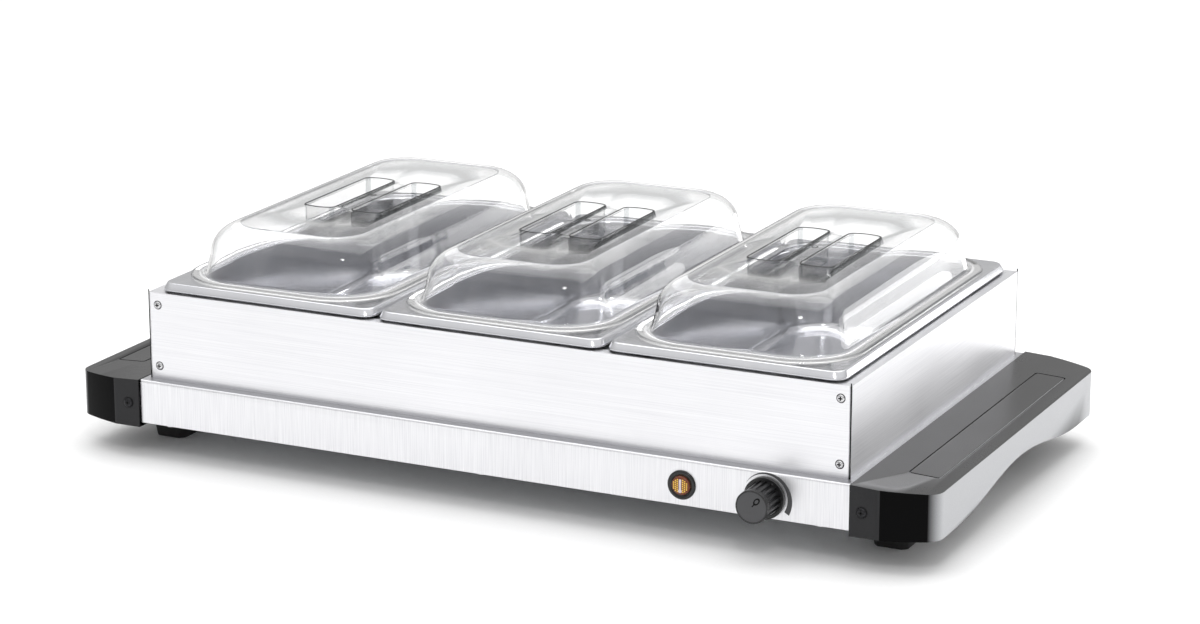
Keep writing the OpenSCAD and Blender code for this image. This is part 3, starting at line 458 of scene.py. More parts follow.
# Felted fibres: straw colour, no shine, a shaggy relief.
WOOL = Finish("mineral_wool_felted", "#d6c28d", "#a8925d", roughness=0.95, swing=0.03,
              grain_mm=(5.0, 0.5, 1.5), relief_mm=0.6, patch_mm=40.0)
# Turned from bar and left plain: warm yellow with a tight highlight.
BRASS = Finish("brass_turned", "#d3ad5c", "#b58f42", roughness=0.27, metallic=1.0, grain_mm=(1.5, 1.5, 1.5),
               relief_mm=0.005)
# Extruded over the wire: brick red with a rubbery sheen.
SLEEVE = Finish("silicone_extruded", "#8f2a20", "#741f17", roughness=0.52, grain_mm=(0.8, 0.8, 0.8),
                relief_mm=0.02)
# Screen printed on the steel: a flat grey film.
PRINT_INK = Finish("ink_screen_printed", "#48484a", "#3c3c3e", roughness=0.5, swing=0.04,
                   grain_mm=(0.4, 0.4, 0.4), relief_mm=0.002)
# Moulded in a polished mould: clear, with slightly wavy reflections and a painted dark line where it turns
# away.
LID_CLEAR = ClearFinish("polycarbonate_moulded_clear", "#ffffff", ior=1.45, edge="#5c6062")
# The same moulding's flat crown, well walls, tight bends and rims: thin and clear, each with more painted
# shade than the last, darkest where it turns away from the eye.
CROWN_CLEAR = ClearSheet("polycarbonate_moulded_clear_crown", "#fbfbfb", "#c4c8ca", ior=1.32)
WELL_CLEAR = ClearSheet("polycarbonate_moulded_clear_wall", "#fbfbfb", "#a4a8aa", ior=1.45, ripple_mm=16.0)
BEND_SHADED_CLEAR = ClearSheet("polycarbonate_moulded_clear_bend", "#d9dbdc", "#888c8f", ior=1.45, ripple_mm=20.0,
                        relief_mm=0.05)
RIM_SHADED_CLEAR = ClearSheet("polycarbonate_moulded_clear_rim", "#484b4d", "#2e3032", ior=1.45)
# Moulded from dyed acrylic: brown-orange glass that lets half the light in.
LENS_AMBER = ClearFinish("acrylic_moulded_amber", "#8a4326", ior=1.49, roughness=0.12, clear=0.45,
                         ripple_mm=3.0)
# Moulded facets with painted glints: small bright gold cells that stand for the light they throw back.
FACET_GLINT = Finish("acrylic_facets_painted_glint", "#ffd75e", "#f3bf3f", roughness=0.2, swing=0.04,
                    relief_mm=0.002)
# Moulded from clouded acrylic: a pale, glowing strip.
STRIP_PALE = ClearFinish("acrylic_moulded_pale", "#ece4e6", ior=1.49, roughness=0.2, clear=0.3,
                         ripple_mm=3.0)
# Coated and rolled out under the tray: even white without a mirror.
FLOOR_PAPER = Finish("paper_coated_matt", "#fdfdfd", "#fafafa", roughness=0.7, swing=0.03,
                     grain_mm=(3.0, 3.0, 3.0), patch_mm=200.0)

INSIDE = {
    "bottom_plate": SHEET_STEEL, "left_end_bracket": SHEET_STEEL, "right_end_bracket": SHEET_STEEL,
    "element_clamps": SHEET_STEEL, "left_crossbar": FRAME_STEEL, "right_crossbar": FRAME_STEEL,
    "pan_frame": FRAME_STEEL, "hot_plate": ALUMINIUM, "reflector_tray": ALUMINIUM,
    "heating_element": HOT_SHEATH, "element_bushes": CERAMIC, "terminal_block": CERAMIC,
    "insulation_mat": WOOL, "overheat_cutout": DARK_CASE, "heat_regulator": DARK_CASE,
    "regulator_nut": BRIGHT_STEEL, "regulator_shaft": TURNED_STEEL, "lamp_body": BLACK_NYLON,
    "earth_stud": BRASS, "internal_wiring": SLEEVE, "gland_nut": BLACK_NYLON,
    "bottom_screws": BRIGHT_STEEL, "foot_screws": BRIGHT_STEEL,
}


# Mesh work


@dataclass(frozen=True)
class Outline:
    """One level of a lofted form in mm: a rounded rectangle, with bowed ends if bow isn't zero."""

    width: float
    length: float
    corner: float
    height: float
    bow: float = 0.0


@dataclass(frozen=True)
class Piece:
    """What a finished mesh becomes: its name, body and finish."""

    name: str
    body: str
    slot: str
    finish: Coat
    replaces: tuple[str, ...] = ()
    wall_mm: float = 0.0
    crease_deg: float = 35.0
    second: Coat | None = None


@dataclass
class Shape:
    """A bmesh in mm that the steps below work on, until it becomes a piece."""

    bm: bmesh.types.BMesh = field(default_factory=bmesh.new)
    copied: bool = False

    def outline(self, level: Outline, steps: int) -> list[bmesh.types.BMEdge]:
        """Draws one level as a closed loop.

        Args:
            level: Sizes of the loop.
            steps: Segments in each corner.

        Returns:
            The loop's edges.
        """
        before = set(self.bm.faces)
        made = bmesh.ops.create_grid(self.bm, x_segments=1, y_segments=1, size=0.5)["verts"]
        bmesh.ops.scale(self.bm, vec=(level.width, level.length, 1), verts=made)
        bmesh.ops.translate(self.bm, vec=(0, 0, level.height), verts=made)
        bmesh.ops.bevel(self.bm, geom=made, offset=level.corner, offset_type="OFFSET", segments=steps,
                        profile=0.5, affect="VERTICES", clamp_overlap=False, material=-1)
        face = next(f for f in self.bm.faces if f not in before)
        loop = list(face.edges)
        bmesh.ops.delete(self.bm, geom=[face], context="FACES_ONLY")
        if level.bow:
            ends = [e for e in loop if abs(e.verts[0].co.y - e.verts[1].co.y) < STEP_MM
                    and abs(e.verts[0].co.y) > level.length / 2 - 10 * STEP_MM]
            split = bmesh.ops.subdivide_edges(self.bm, edges=ends, cuts=BOW_CUTS)["geom_split"]
            loop = list({*loop, *(g for g in split if isinstance(g, bmesh.types.BMEdge))})
            for vert in {v for e in loop for v in e.verts}:
                if abs(vert.co.y) > level.length / 2 - level.corner - STEP_MM:
                    drop = level.bow - math.sqrt(level.bow**2 - vert.co.x**2)
                    vert.co.y -= math.copysign(drop, vert.co.y)
        return loop

    def loft(self, levels: Sequence[Outline], steps: int = CORNER_STEPS) -> list[list[bmesh.types.BMEdge]]:
        """Joins levels in order with faces.

        Args:
            levels: Loops from first to last.
            steps: Segments in each corner.

        Returns:
            The first and the last loop.
        """
        loops = [self.outline(level, steps) for level in levels]
        for one, two in zip(loops, loops[1:]):
            bmesh.ops.bridge_loops(self.bm, edges=one + two)
        return [loops[0], loops[-1]]

    def cap(self, *loops: list[bmesh.types.BMEdge]) -> None:
        """Fills flat loops with faces, with the inner ones as holes."""
        bmesh.ops.triangle_fill(self.bm, edges=[e for loop in loops for e in loop], use_beauty=True)

    def ring(self, radius: float, height: float, count: int = 32) -> list[bmesh.types.BMEdge]:
        """Draws a round loop.

        Args:
            radius: Its radius.
            height: Its place along Z.
            count: Its number of sides.

        Returns:
            The loop's edges.
        """
        made = bmesh.ops.create_circle(self.bm, segments=count, radius=radius,
                                       matrix=Matrix.Translation((0, 0, height)))["verts"]
        return list({e for v in made for e in v.link_edges})

    def turn(self, profile: Sequence[tuple[float, float]], count: int = 32) -> None:
        """Lofts a round closed form from its profile and caps both ends.

        Args:
            profile: Radius and height of each loop.
            count: Sides of each loop.
        """
        loops = [self.ring(r, z, count) for r, z in profile]
        for one, two in zip(loops, loops[1:]):
            bmesh.ops.bridge_loops(self.bm, edges=one + two)
        for loop in (loops[0], loops[-1]):
            bmesh.ops.contextual_create(self.bm, geom=loop)

    def arc(self, inner: float, widths: tuple[float, float], angles: tuple[float, float],
            thick: float) -> None:
        """Adds a flat arc round the origin to an empty form.

        Args:
            inner: Its inner radius.
            widths: Its width at its start and at its end.
            angles: Its start and end, in degrees.
            thick: Its thickness.
        """
        start, end = (math.radians(a) for a in angles)
        near = self.bm.verts.new((inner, 0, 0))
        far = self.bm.verts.new((inner + widths[0], 0, 0))
        edge = self.bm.edges.new((near, far))
        bmesh.ops.rotate(self.bm, cent=(0, 0, 0), matrix=Matrix.Rotation(start, 3, "Z"), verts=[near, far])
        bmesh.ops.spin(self.bm, geom=[near, far, edge], cent=(0, 0, 0), axis=(0, 0, 1), angle=end - start,
                       steps=ARC_STEPS, use_merge=abs(angles[1] - angles[0]) == 360)
        if widths[0] != widths[1]:
            for vert in self.bm.verts:
                if vert.co.length > inner + widths[0] / 2:
                    share = (math.atan2(vert.co.y, vert.co.x) - start) / (end - start)
                    vert.co.length = inner + widths[0] + (widths[1] - widths[0]) * share
        made = bmesh.ops.extrude_face_region(self.bm, geom=list(self.bm.faces))["geom"]
        top = [g for g in made if isinstance(g, bmesh.types.BMVert)]
        bmesh.ops.translate(self.bm, vec=(0, 0, thick), verts=top)

    def block(self, size: Point, place: Point, edge: float = 0.1) -> None:
        """Adds a small block with bevelled edges.

        Args:
            size: Its lengths along the three axes.
            place: Its middle.
            edge: Width of the bevel.
        """
        made = bmesh.ops.create_cube(self.bm, size=1.0)["verts"]
        bmesh.ops.scale(self.bm, vec=size, verts=made)
        bmesh.ops.translate(self.bm, vec=place, verts=made)
        edges = list({e for v in made for e in v.link_edges})
        bmesh.ops.bevel(self.bm, geom=edges, offset=edge, segments=2, profile=0.5, affect="EDGES",
                        material=-1)

    def face_front(self) -> None:
        """Turns the form from +Z to face -Y."""
        bmesh.ops.rotate(self.bm, cent=(0, 0, 0), matrix=Matrix.Rotation(math.radians(90), 3, "X"),
                         verts=self.bm.verts)

    def move(self, place: Point) -> None:
        """Moves the whole form."""
        bmesh.ops.translate(self.bm, vec=place, verts=self.bm.verts)

    def repeat(self, places: Sequence[tuple[Point, bool]]) -> None:
        """Copies the form to each place and drops the first one.

        Args:
            places: Where each copy goes, and whether it is turned round to face +Y.
        """
        first = list(self.bm.verts) + list(self.bm.edges) + list(self.bm.faces)
        for place, back in places:
            copy = bmesh.ops.duplicate(self.bm, geom=first)["geom"]
            verts = [g for g in copy if isinstance(g, bmesh.types.BMVert)]
            if back:
                bmesh.ops.rotate(self.bm, cent=(0, 0, 0), matrix=Matrix.Rotation(math.pi, 3, "Z"),
                                 verts=verts)
            bmesh.ops.translate(self.bm, vec=place, verts=verts)
        bmesh.ops.delete(self.bm, geom=[g for g in first if isinstance(g, bmesh.types.BMVert)],
                         context="VERTS")

    def take(self, other: "Shape") -> list[bmesh.types.BMEdge]:
        """Takes in another form.

        Args:
            other: The form, which is used up.

        Returns:
            Its edges, as part of this form.
        """
        count = len(self.bm.edges)
        mesh = bpy.data.meshes.new("taken")
        other.bm.to_mesh(mesh)
        other.bm.free()
        self.bm.from_mesh(mesh)
        bpy.data.meshes.remove(mesh)
        self.bm.edges.ensure_lookup_table()
        return self.bm.edges[count:]

    def copy_node(self, node: str) -> None:
        """Takes in a merged copy of a CAD node's mesh, whose normals are kept.

        Args:
            node: CAD node.
        """
        self.copied = True
        self.bm.from_mesh(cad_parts[node].data)
        bmesh.ops.scale(self.bm, vec=(1 / MM,) * 3, verts=self.bm.verts)
        bmesh.ops.remove_doubles(self.bm, verts=self.bm.verts, dist=COPY_JOIN_MM)
        bmesh.ops.dissolve_limit(self.bm, angle_limit=math.radians(FLAT_DEG), verts=self.bm.verts,
                                 edges=self.bm.edges)

    def round_edges(self, wanted: Callable[[bmesh.types.BMEdge], bool], radius: float) -> None:
        """Rounds the sharp edges that a test picks.

        Args:
            wanted: Says whether an edge is rounded.
            radius: Width of the rounding.
        """
        sharp = [e for e in self.bm.edges if len(e.link_faces) == 2
                 and e.calc_face_angle(0) > math.radians(SHARP_DEG) and wanted(e)]
        bmesh.ops.bevel(self.bm, geom=sharp, offset=radius, segments=4, profile=0.5, affect="EDGES",
                        clamp_overlap=True, material=-1)

    def mark(self, wanted: Callable[[bmesh.types.BMFace], bool]) -> None:
        """Puts the second finish on the faces that a test picks.

        Args:
            wanted: Says whether a face gets it.
        """
        self.bm.normal_update()
        for face in self.bm.faces:
            face.material_index = int(wanted(face))

    def become(self, piece: Piece, up: bool | None = None) -> bpy.types.Object:
        """Makes the finished object.

        Args:
            piece: Its name, body, slot and finish.
            up: For an open sheet, whether its middle face looks up. None on a closed form.

        Returns:
            The object, in metres.
        """
        bmesh.ops.remove_doubles(self.bm, verts=self.bm.verts, dist=JOIN_MM)
        if not self.copied:
            bmesh.ops.recalc_face_normals(self.bm, faces=self.bm.faces)
        if up is not None:
            middle = max(self.bm.faces, key=lambda f: abs(f.normal.z) * f.calc_area())
            if (middle.normal.z > 0) != up:
                bmesh.ops.reverse_faces(self.bm, faces=self.bm.faces)
        bmesh.ops.scale(self.bm, vec=(MM,) * 3, verts=self.bm.verts)
        mesh = bpy.data.meshes.new(piece.name)
        self.bm.to_mesh(mesh)
        self.bm.free()
        mesh.shade_smooth()
        mesh.set_sharp_from_angle(angle=math.radians(piece.crease_deg))
        made = bpy.data.objects.new(piece.name, mesh)
        bpy.context.scene.collection.objects.link(made)
        made.data.materials.append(piece.finish.material())
        if piece.second:
            made.data.materials.append(piece.second.material())
        if piece.wall_mm:
            wall = made.modifiers.new("wall", "SOLIDIFY")
            wall.thickness = piece.wall_mm * MM
            wall.offset = -1.0
            wall.use_even_offset = True
        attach(made, piece.body)
        if piece.replaces:
            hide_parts(*piece.replaces)
        LOG.info("%s: %d faces", piece.name, len(mesh.polygons))
        return made


def dress_copy(node: str, body: str, slot: str, finish: Finish, crease_deg: float = 35.0) -> bpy.types.Object:
    """Stands a merged, smooth-shaded copy in for a CAD node.

    Args:
        node: CAD node.
        body: Body it moves with.
        slot: Material slot; not used.
        finish: Its finish.
        crease_deg: Angle above which an edge stays sharp.

    Returns:
        The new object.
    """
    shape = Shape()
    shape.copy_node(node)
    return shape.become(Piece(f"{node}_form", body, slot, finish, (node,), crease_deg=crease_deg))


# Sub-assemblies


@dataclass(frozen=True)
class Box:
    """Where a CAD node lies, in mm."""

    low: Point
    high: Point

    @classmethod
    def of(cls, node: str) -> "Box":
        """Measures a node.

        Args:
            node: CAD node.

        Returns:
            Its box, to a thousandth of a millimetre.
        """
        low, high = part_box(node)
        return cls(tuple(round(c / MM, 3) for c in low), tuple(round(c / MM, 3) for c in high))

    def size(self) -> Point:
        """Returns its length along each axis."""
        return tuple(b - a for a, b in zip(self.low, self.high))

    def middle(self) -> Point:
        """Returns its middle."""
        return tuple((a + b) / 2 for a, b in zip(self.low, self.high))


def quarter(steps: int) -> list[float]:
    """Divides a right angle.

    Args:
        steps: Number of parts.

    Returns:
        The angles from nought to ninety degrees, in radians.
    """
    return [math.radians(90 * step / steps) for step in range(steps + 1)]


@dataclass
class Pan:
    """A lift-out pan with a folded rim, drawn as one pressed sheet.

    The lip is given by its upright part's height, its whole height and how far it leans in.
    """

    place: Place
    rim_h: float = 5.5
    rim_slope: float = 2.4
    rim_corner: float = 10.0
    lip: tuple[float, float, float] = (0.9, 1.2, 0.12)
    bend_r: float = 0.5
    mouth_in: float = 13.0
    mouth_corner: float = 39.0
    mouth_r: float = 1.8
    draft: float = 5.0
    half_draft_at: float = 0.45
    floor_r: float = 8.0
    wall: float = 1.0

    def rim_levels(self, box: Box) -> list[Outline]:
        """Works out the folded rim.

        Args:
            box: The CAD pan's box.

        Returns:
            Its levels, from its lip to its flat top.
        """
        width, length, _ = box.size()
        slope, bend = self.rim_slope, self.bend_r
        lip_h, lip_top, lip_in = self.lip
        steps = [(0.0, -self.rim_h), (0.0, lip_h - self.rim_h), (lip_in, lip_top - self.rim_h),
                 (slope - bend * 0.7, -bend * 1.4), (slope, -bend / 2), (slope + bend, -bend * 0.08),
                 (slope + bend * 2, 0.0)]
        return [Outline(width - 2 * inset, length - 2 * inset, self.rim_corner - inset / 2,
                        box.high[2] + rise) for inset, rise in steps]

    def bowl_levels(self, box: Box) -> list[Outline]:
        """Works out the bowl.

        Args:
            box: The CAD pan's box.

        Returns:
            Its levels, from the rolled mouth to the floor.
        """
        width, length, height = box.size()
        depth = height - self.wall
        levels = [(self.mouth_r * (math.sin(turn) - 1), -self.mouth_r * (1 - math.cos(turn)))
                  for turn in quarter(MOUTH_STEPS)]
        levels.append((self.draft / 2, -depth * self.half_draft_at))
        levels += [(self.draft + self.floor_r * (1 - math.cos(turn)),
                    self.floor_r * (1 - math.sin(turn)) - depth) for turn in quarter(FLOOR_STEPS)]
        width, length = width - 2 * self.mouth_in, length - 2 * self.mouth_in
        return [Outline(width - 2 * inset, length - 2 * inset, self.mouth_corner - inset / 2,
                        box.high[2] + rise) for inset, rise in levels]

    def build(self) -> None:
        """Builds the pan."""
        node = f"{self.place.value}_pan"
        box = Box.of(node)
        shape = Shape()
        rim = shape.loft(self.rim_levels(box))[1]
        mouth, floor = shape.loft(self.bowl_levels(box))
        shape.cap(rim, mouth)
        bmesh.ops.contextual_create(shape.bm, geom=floor)
        shape.move((box.middle()[0], box.middle()[1], 0))
        shape.become(Piece(f"{node}_pressing", node, "pan_steel", PAN_STEEL, (node,), wall_mm=self.wall,
                           crease_deg=60.0), up=True)


@dataclass
class Lid:
    """A clear lid: a domed shell on a flange, with two finger wells and a grip bar between them."""

    place: Place
    # Flange, dome and crown
    corner: float = 47.0
    seat_gap: float = 0.05
    flange: float = 11.5
    flange_edge: float = 0.6
    foot_r: float = 2.0
    draft: float = 3.0
    crown_r: float = 22.0
    crown_fall: float = 0.5
    wall: float = 2.0
    # Finger wells
    well_x: float = 20.0
    well_w: float = 25.0
    well_l: float = 100.0
    well_depth: float = 25.0
    well_r: float = 5.0
    well_corner: float = 3.0
    well_lip: float = 0.1
    least_corner: float = 0.6
    bow: float = 30.0
    rim_profile: tuple[tuple[float, float], ...] = (
        (-0.7, -0.1), (-0.55, 0.25), (0.0, 0.45), (0.4, 0.25), (0.5, -0.1))
    # Ring on the grip bar
    gate_r: float = 1.7
    gate_w: float = 0.8
    gate_h: float = 0.25
    gate_sunk: float = 0.02
    # Angle of a sharp edge, and cosines that tell crown, floors, walls and corners apart
    crease_deg: float = 50.0
    level_cos: float = 0.98
    floor_cos: float = 0.9
    wall_cos: float = 0.2
    corner_cos: float = 0.35
    node: str = field(init=False)
    box: Box = field(init=False)

    def __post_init__(self) -> None:
        """Measures the CAD lid."""
        self.node = f"{self.place.value}_lid"
        self.box = Box.of(self.node)

    def stand(self, shape: Shape) -> None:
        """Moves a form from the origin to the lid's middle."""
        shape.move((self.box.middle()[0], self.box.middle()[1], 0))

    def shell_levels(self) -> list[Outline]:
        """Works out the flange and the dome.

        Returns:
            Their levels, from the flange's edge to the crown.
        """
        width, length, _ = self.box.size()
        foot = self.box.low[2] + self.seat_gap + self.wall
        edge, foot_r = self.flange_edge, self.foot_r
        levels = [(0.0, foot - edge), (edge / 4, foot - edge / 3), (edge, foot), (self.flange - foot_r, foot),
                  (self.flange - foot_r * 0.4, foot + foot_r * 0.175), (self.flange, foot + foot_r * 0.8)]
        outs = [Outline(width - 2 * inset, length - 2 * inset, self.corner - inset, z) for inset, z in levels]
        width, length = width - 2 * self.flange, length - 2 * self.flange
        for turn in quarter(CROWN_STEPS):
            inset = self.draft + self.crown_r * (1 - math.cos(turn))
            outs.append(Outline(width - 2 * inset, length - 2 * inset, self.corner - self.flange - inset / 2,
                                self.box.high[2] - self.crown_r * (1 - math.sin(turn))))
        return outs

    def well_outline(self, inset: float, rise: float) -> Outline:
        """Works out one level of a finger well.

        Args:
            inset: How far it lies inside the mouth's edge.
            rise: Its height above the crown.

        Returns:
            The level.
        """
        return Outline(self.well_w - 2 * inset, self.well_l - 2 * inset,
                       max(self.well_corner - inset / 2, self.least_corner), self.box.high[2] + rise,
                       self.bow - inset)

    def well_levels(self) -> list[Outline]:
        """Works out one finger well.

        Returns:
            Its levels, from its mouth to its floor.
        """
        lip, well_r = self.well_lip, self.well_r
        levels = [(0.0, 0.0), (lip / 2, -lip), (lip, -8 * lip), (lip, well_r - self.well_depth)]
        levels += [(lip + well_r * (1 - math.cos(turn)), well_r * (1 - math.sin(turn)) - self.well_depth)
                   for turn in quarter(FLOOR_STEPS)[1:]]
        return [self.well_outline(inset, rise) for inset, rise in levels]

    def is_crown(self, face: bmesh.types.BMFace) -> bool:
        """Says whether a face of the shell lies in the flat crown.

        Args:
            face: Face to test.

        Returns:
            True on the crown, false on the dome and the flange.
        """
        on_top = face.calc_center_median().z > self.box.high[2] - self.crown_fall
        return on_top and abs(face.normal.z) > self.level_cos

    def is_bend(self, face: bmesh.types.BMFace) -> bool:
        """Says whether a face of a well lies in a tight bend.

        Args:
            face: Face to test.

        Returns:
            True in the fillets and corners, false on the walls and the floor.
        """
        in_fillet = self.wall_cos < abs(face.normal.z) < self.floor_cos
        return in_fillet or min(abs(face.normal.x), abs(face.normal.y)) > self.corner_cos

    def shell(self) -> None:
        """Builds the flange, dome and crown, with the wells' mouths open."""
        shape = Shape()
        crown = shape.loft(self.shell_levels())[1]
        mouths = []
        for side in Side:
            mouth = Shape()
            mouth.outline(self.well_outline(0.0, 0.0), WELL_STEPS)
            mouth.move((side.value * self.well_x, 0, 0))
            mouths.append(shape.take(mouth))
        shape.cap(crown, *mouths)
        shape.mark(self.is_crown)
        self.stand(shape)
        shape.become(Piece(f"{self.node}_moulding", self.node, "lid_clear", LID_CLEAR, (self.node,),
                           self.wall, self.crease_deg, CROWN_CLEAR), up=True)

    def wells(self) -> None:
        """Builds the walls and floors of both finger wells."""
        shape = Shape()
        for side in Side:
            well = Shape()
            floor = well.loft(self.well_levels()[1:], WELL_STEPS)[1]
            bmesh.ops.contextual_create(well.bm, geom=floor)
            well.move((side.value * self.well_x, 0, 0))
            shape.take(well)
        self.stand(shape)
        # The wells' bends get the darker painted shade.
        shape.mark(self.is_bend)
        shape.become(Piece(f"{self.node}_wells", self.node, "lid_clear", WELL_CLEAR,
                           crease_deg=self.crease_deg, second=BEND_SHADED_CLEAR), up=True)

    def rims(self) -> None:
        """Builds the rounded edge round each well's mouth, in painted shade where the clear wall shows
        darkest.
        """
        shape = Shape()
        for side in Side:
            rim = Shape()
            first, last = rim.loft([self.well_outline(*level) for level in self.rim_profile], WELL_STEPS)
            bmesh.ops.bridge_loops(rim.bm, edges=first + last)
            rim.move((side.value * self.well_x, 0, 0))
            shape.take(rim)
        self.stand(shape)
        shape.become(Piece(f"{self.node}_well_rims", self.node, "lid_clear", RIM_SHADED_CLEAR))

    def gate_mark(self) -> None:
        """Builds the small ring that moulding leaves on the grip bar."""
        shape = Shape()
        shape.arc(self.gate_r, (self.gate_w, self.gate_w), (0, 360), self.gate_h)
        shape.move((0, 0, self.box.high[2] - self.gate_sunk))
        self.stand(shape)
        shape.become(Piece(f"{self.node}_gate_mark", self.node, "lid_clear", RIM_SHADED_CLEAR))

    def build(self) -> None:
        """Builds the lid's four pieces."""
        self.shell()
        self.wells()
        self.rims()
        self.gate_mark()


@dataclass
class Casing:
    """The folded base, the upper box and the seams at its corners."""

    level_cos: float = 0.9
    seam_out: float = 0.8
    seam_below: float = 1.8
    seam_above: float = 2.0
    seam_w: float = 0.9
    seam_t: float = 0.1
    seam_proud: float = 0.03
    seam_edge: float = 0.02

    def base(self) -> None:
        """Builds the folded base, whose level ledge is painted in shade."""
        base = Shape()
        base.copy_node("base_shell")
        # Faces that look up get the ledge's painted shade.
        base.mark(lambda face: face.normal.z > self.level_cos)
        base.become(Piece("base_shell_form", "root", "brushed_casing", BASE_STEEL, ("base_shell",),
                          second=LEDGE_PAINTED_SHADE))

    def seams(self) -> None:
        """Builds the seam where the panels meet at each corner, as a strip of painted shade."""
        front, back = Box.of("front_panel"), Box.of("back_panel")
        low, top = front.low[2] - self.seam_below, front.high[2] + self.seam_above
        reach = front.high[0] + self.seam_out
        seams = Shape()
        for x in (-reach, reach):
            for y in (front.low[1] - self.seam_proud, back.high[1] + self.seam_proud):
                seams.block((self.seam_w, self.seam_t, top - low), (x, y, (top + low) / 2), self.seam_edge)
        # The seam strips are painted shade.
        seams.become(Piece("panel_seams", "root", "brushed_casing", RECESS_SHADE))

    def build(self) -> None:
        """Builds every visible casing piece."""
        self.base()
        self.seams()
        for name in ("front_panel", "back_panel", "left_panel", "right_panel"):
            dress_copy(name, "root", "brushed_casing", PANEL_STEEL)


@dataclass
class ScrewSet:
    """Domed screws with a cross recess, on the front and the back and at both ends."""

    node: str
    slot: str
    finish: Finish
    radius: float
    height: float
    rows_apart: float = 0.0
    # Head, with its dome as shares of its radius and height
    sunk: float = 0.4
    edge_h: float = 0.25
    dome: tuple[tuple[float, float], ...] = ((0.95, 0.5), (0.82, 0.8), (0.62, 0.96), (0.4, 1.0))
    # Ring of painted shade round the head, and the cross in it, also painted shade
    ring_w: float = 0.5
    ring_h: float = 0.1
    ring_sunk: float = 0.3
    arm_l: float = 1.1
    arm_w: float = 0.34
    arm_t: float = 0.16
    arm_sunk: float = 0.02
    arm_edge: float = 0.04
    sides: int = 28

    def places(self) -> list[tuple[Point, bool]]:
        """Finds the screws' seats from their CAD node.

        Returns:
            The middle of each seat, and whether it faces +Y.
        """
        box = Box.of(self.node)
        reach = box.high[0] - self.radius
        front, back = box.low[1] + self.height, box.high[1] - self.height
        middle = box.middle()[2]
        rows = (middle - self.rows_apart / 2, middle + self.rows_apart / 2) if self.rows_apart else (middle,)
        return [((side.value * reach, y, z), y == back) for side in Side for z in rows for y in (front, back)]

    def build(self) -> None:
        """Builds the heads, and the recess and ring of each."""
        places = self.places()
        heads = Shape()
        heads.turn([(self.radius, -self.sunk), (self.radius, self.edge_h),
                    *((self.radius * r, self.height * h) for r, h in self.dome)], self.sides)
        heads.face_front()
        heads.repeat(places)
        heads.become(Piece(f"{self.node}_heads", "root", self.slot, self.finish, (self.node,),
                           crease_deg=40.0))
        # The ring and the cross are painted shade.
        cross = Shape()
        outer = self.radius + self.ring_w
        cross.turn([(outer, -self.ring_sunk), (outer, self.ring_h * 0.6), (self.radius, self.ring_h)],
                   self.sides)
        long, short = self.radius * self.arm_l, self.radius * self.arm_w
        for size in ((long, short, self.arm_t), (short, long, self.arm_t)):
            arm = Shape()
            arm.block(size, (0, 0, self.height - self.arm_sunk), self.arm_edge)
            cross.take(arm)
        cross.face_front()
        cross.repeat(places)
        cross.become(Piece(f"{self.node}_recess", "root", self.slot, RECESS_SHADE))


@dataclass
class EndHandle:
    """A black end handle, and its feet.

    Its sharp edges above top_low are rounded, but for the inner ones and those of the groove on top.
    """

    side: Side
    edge_r: float = 1.6
    top_low: float = 50.0
    inner_edge: float = 0.5
    groove_in: float = 300.0
    groove_out: float = 328.0
    groove_half: float = 134.0
    node: str = field(init=False)
    box: Box = field(init=False)

    def __post_init__(self) -> None:
        """Measures the CAD handle."""
        self.node = f"{self.side.name.lower()}_handle"
        self.box = Box.of(self.node)

    def is_outer(self, edge: bmesh.types.BMEdge) -> bool:
        """Says whether an edge belongs to the handle's outer outline on top.

        Args:
            edge: Edge to test.

        Returns:
            True for the outline, false for the groove and the inner edge.
        """
        inner = min(abs(self.box.low[0]), abs(self.box.high[0])) + self.inner_edge
        for vert in edge.verts:
            x, y = abs(vert.co.x), abs(vert.co.y - self.box.middle()[1])
            if vert.co.z < self.top_low or x < inner:
                return False
            if self.groove_in < x < self.groove_out and y < self.groove_half:
                return False
        return True

    def build(self) -> None:
        """Builds the handle and its two feet."""
        shape = Shape()
        shape.copy_node(self.node)
        shape.round_edges(self.is_outer, self.edge_r)
        shape.become(Piece(f"{self.node}_moulding", "root", "handle_black", HANDLE_PLASTIC, (self.node,),
                           crease_deg=32.0))
        for end in ("front", "back"):
            dress_copy(f"{end}_{self.side.name.lower()}_foot", "root", "foot_rubber", FOOT_RUBBER)


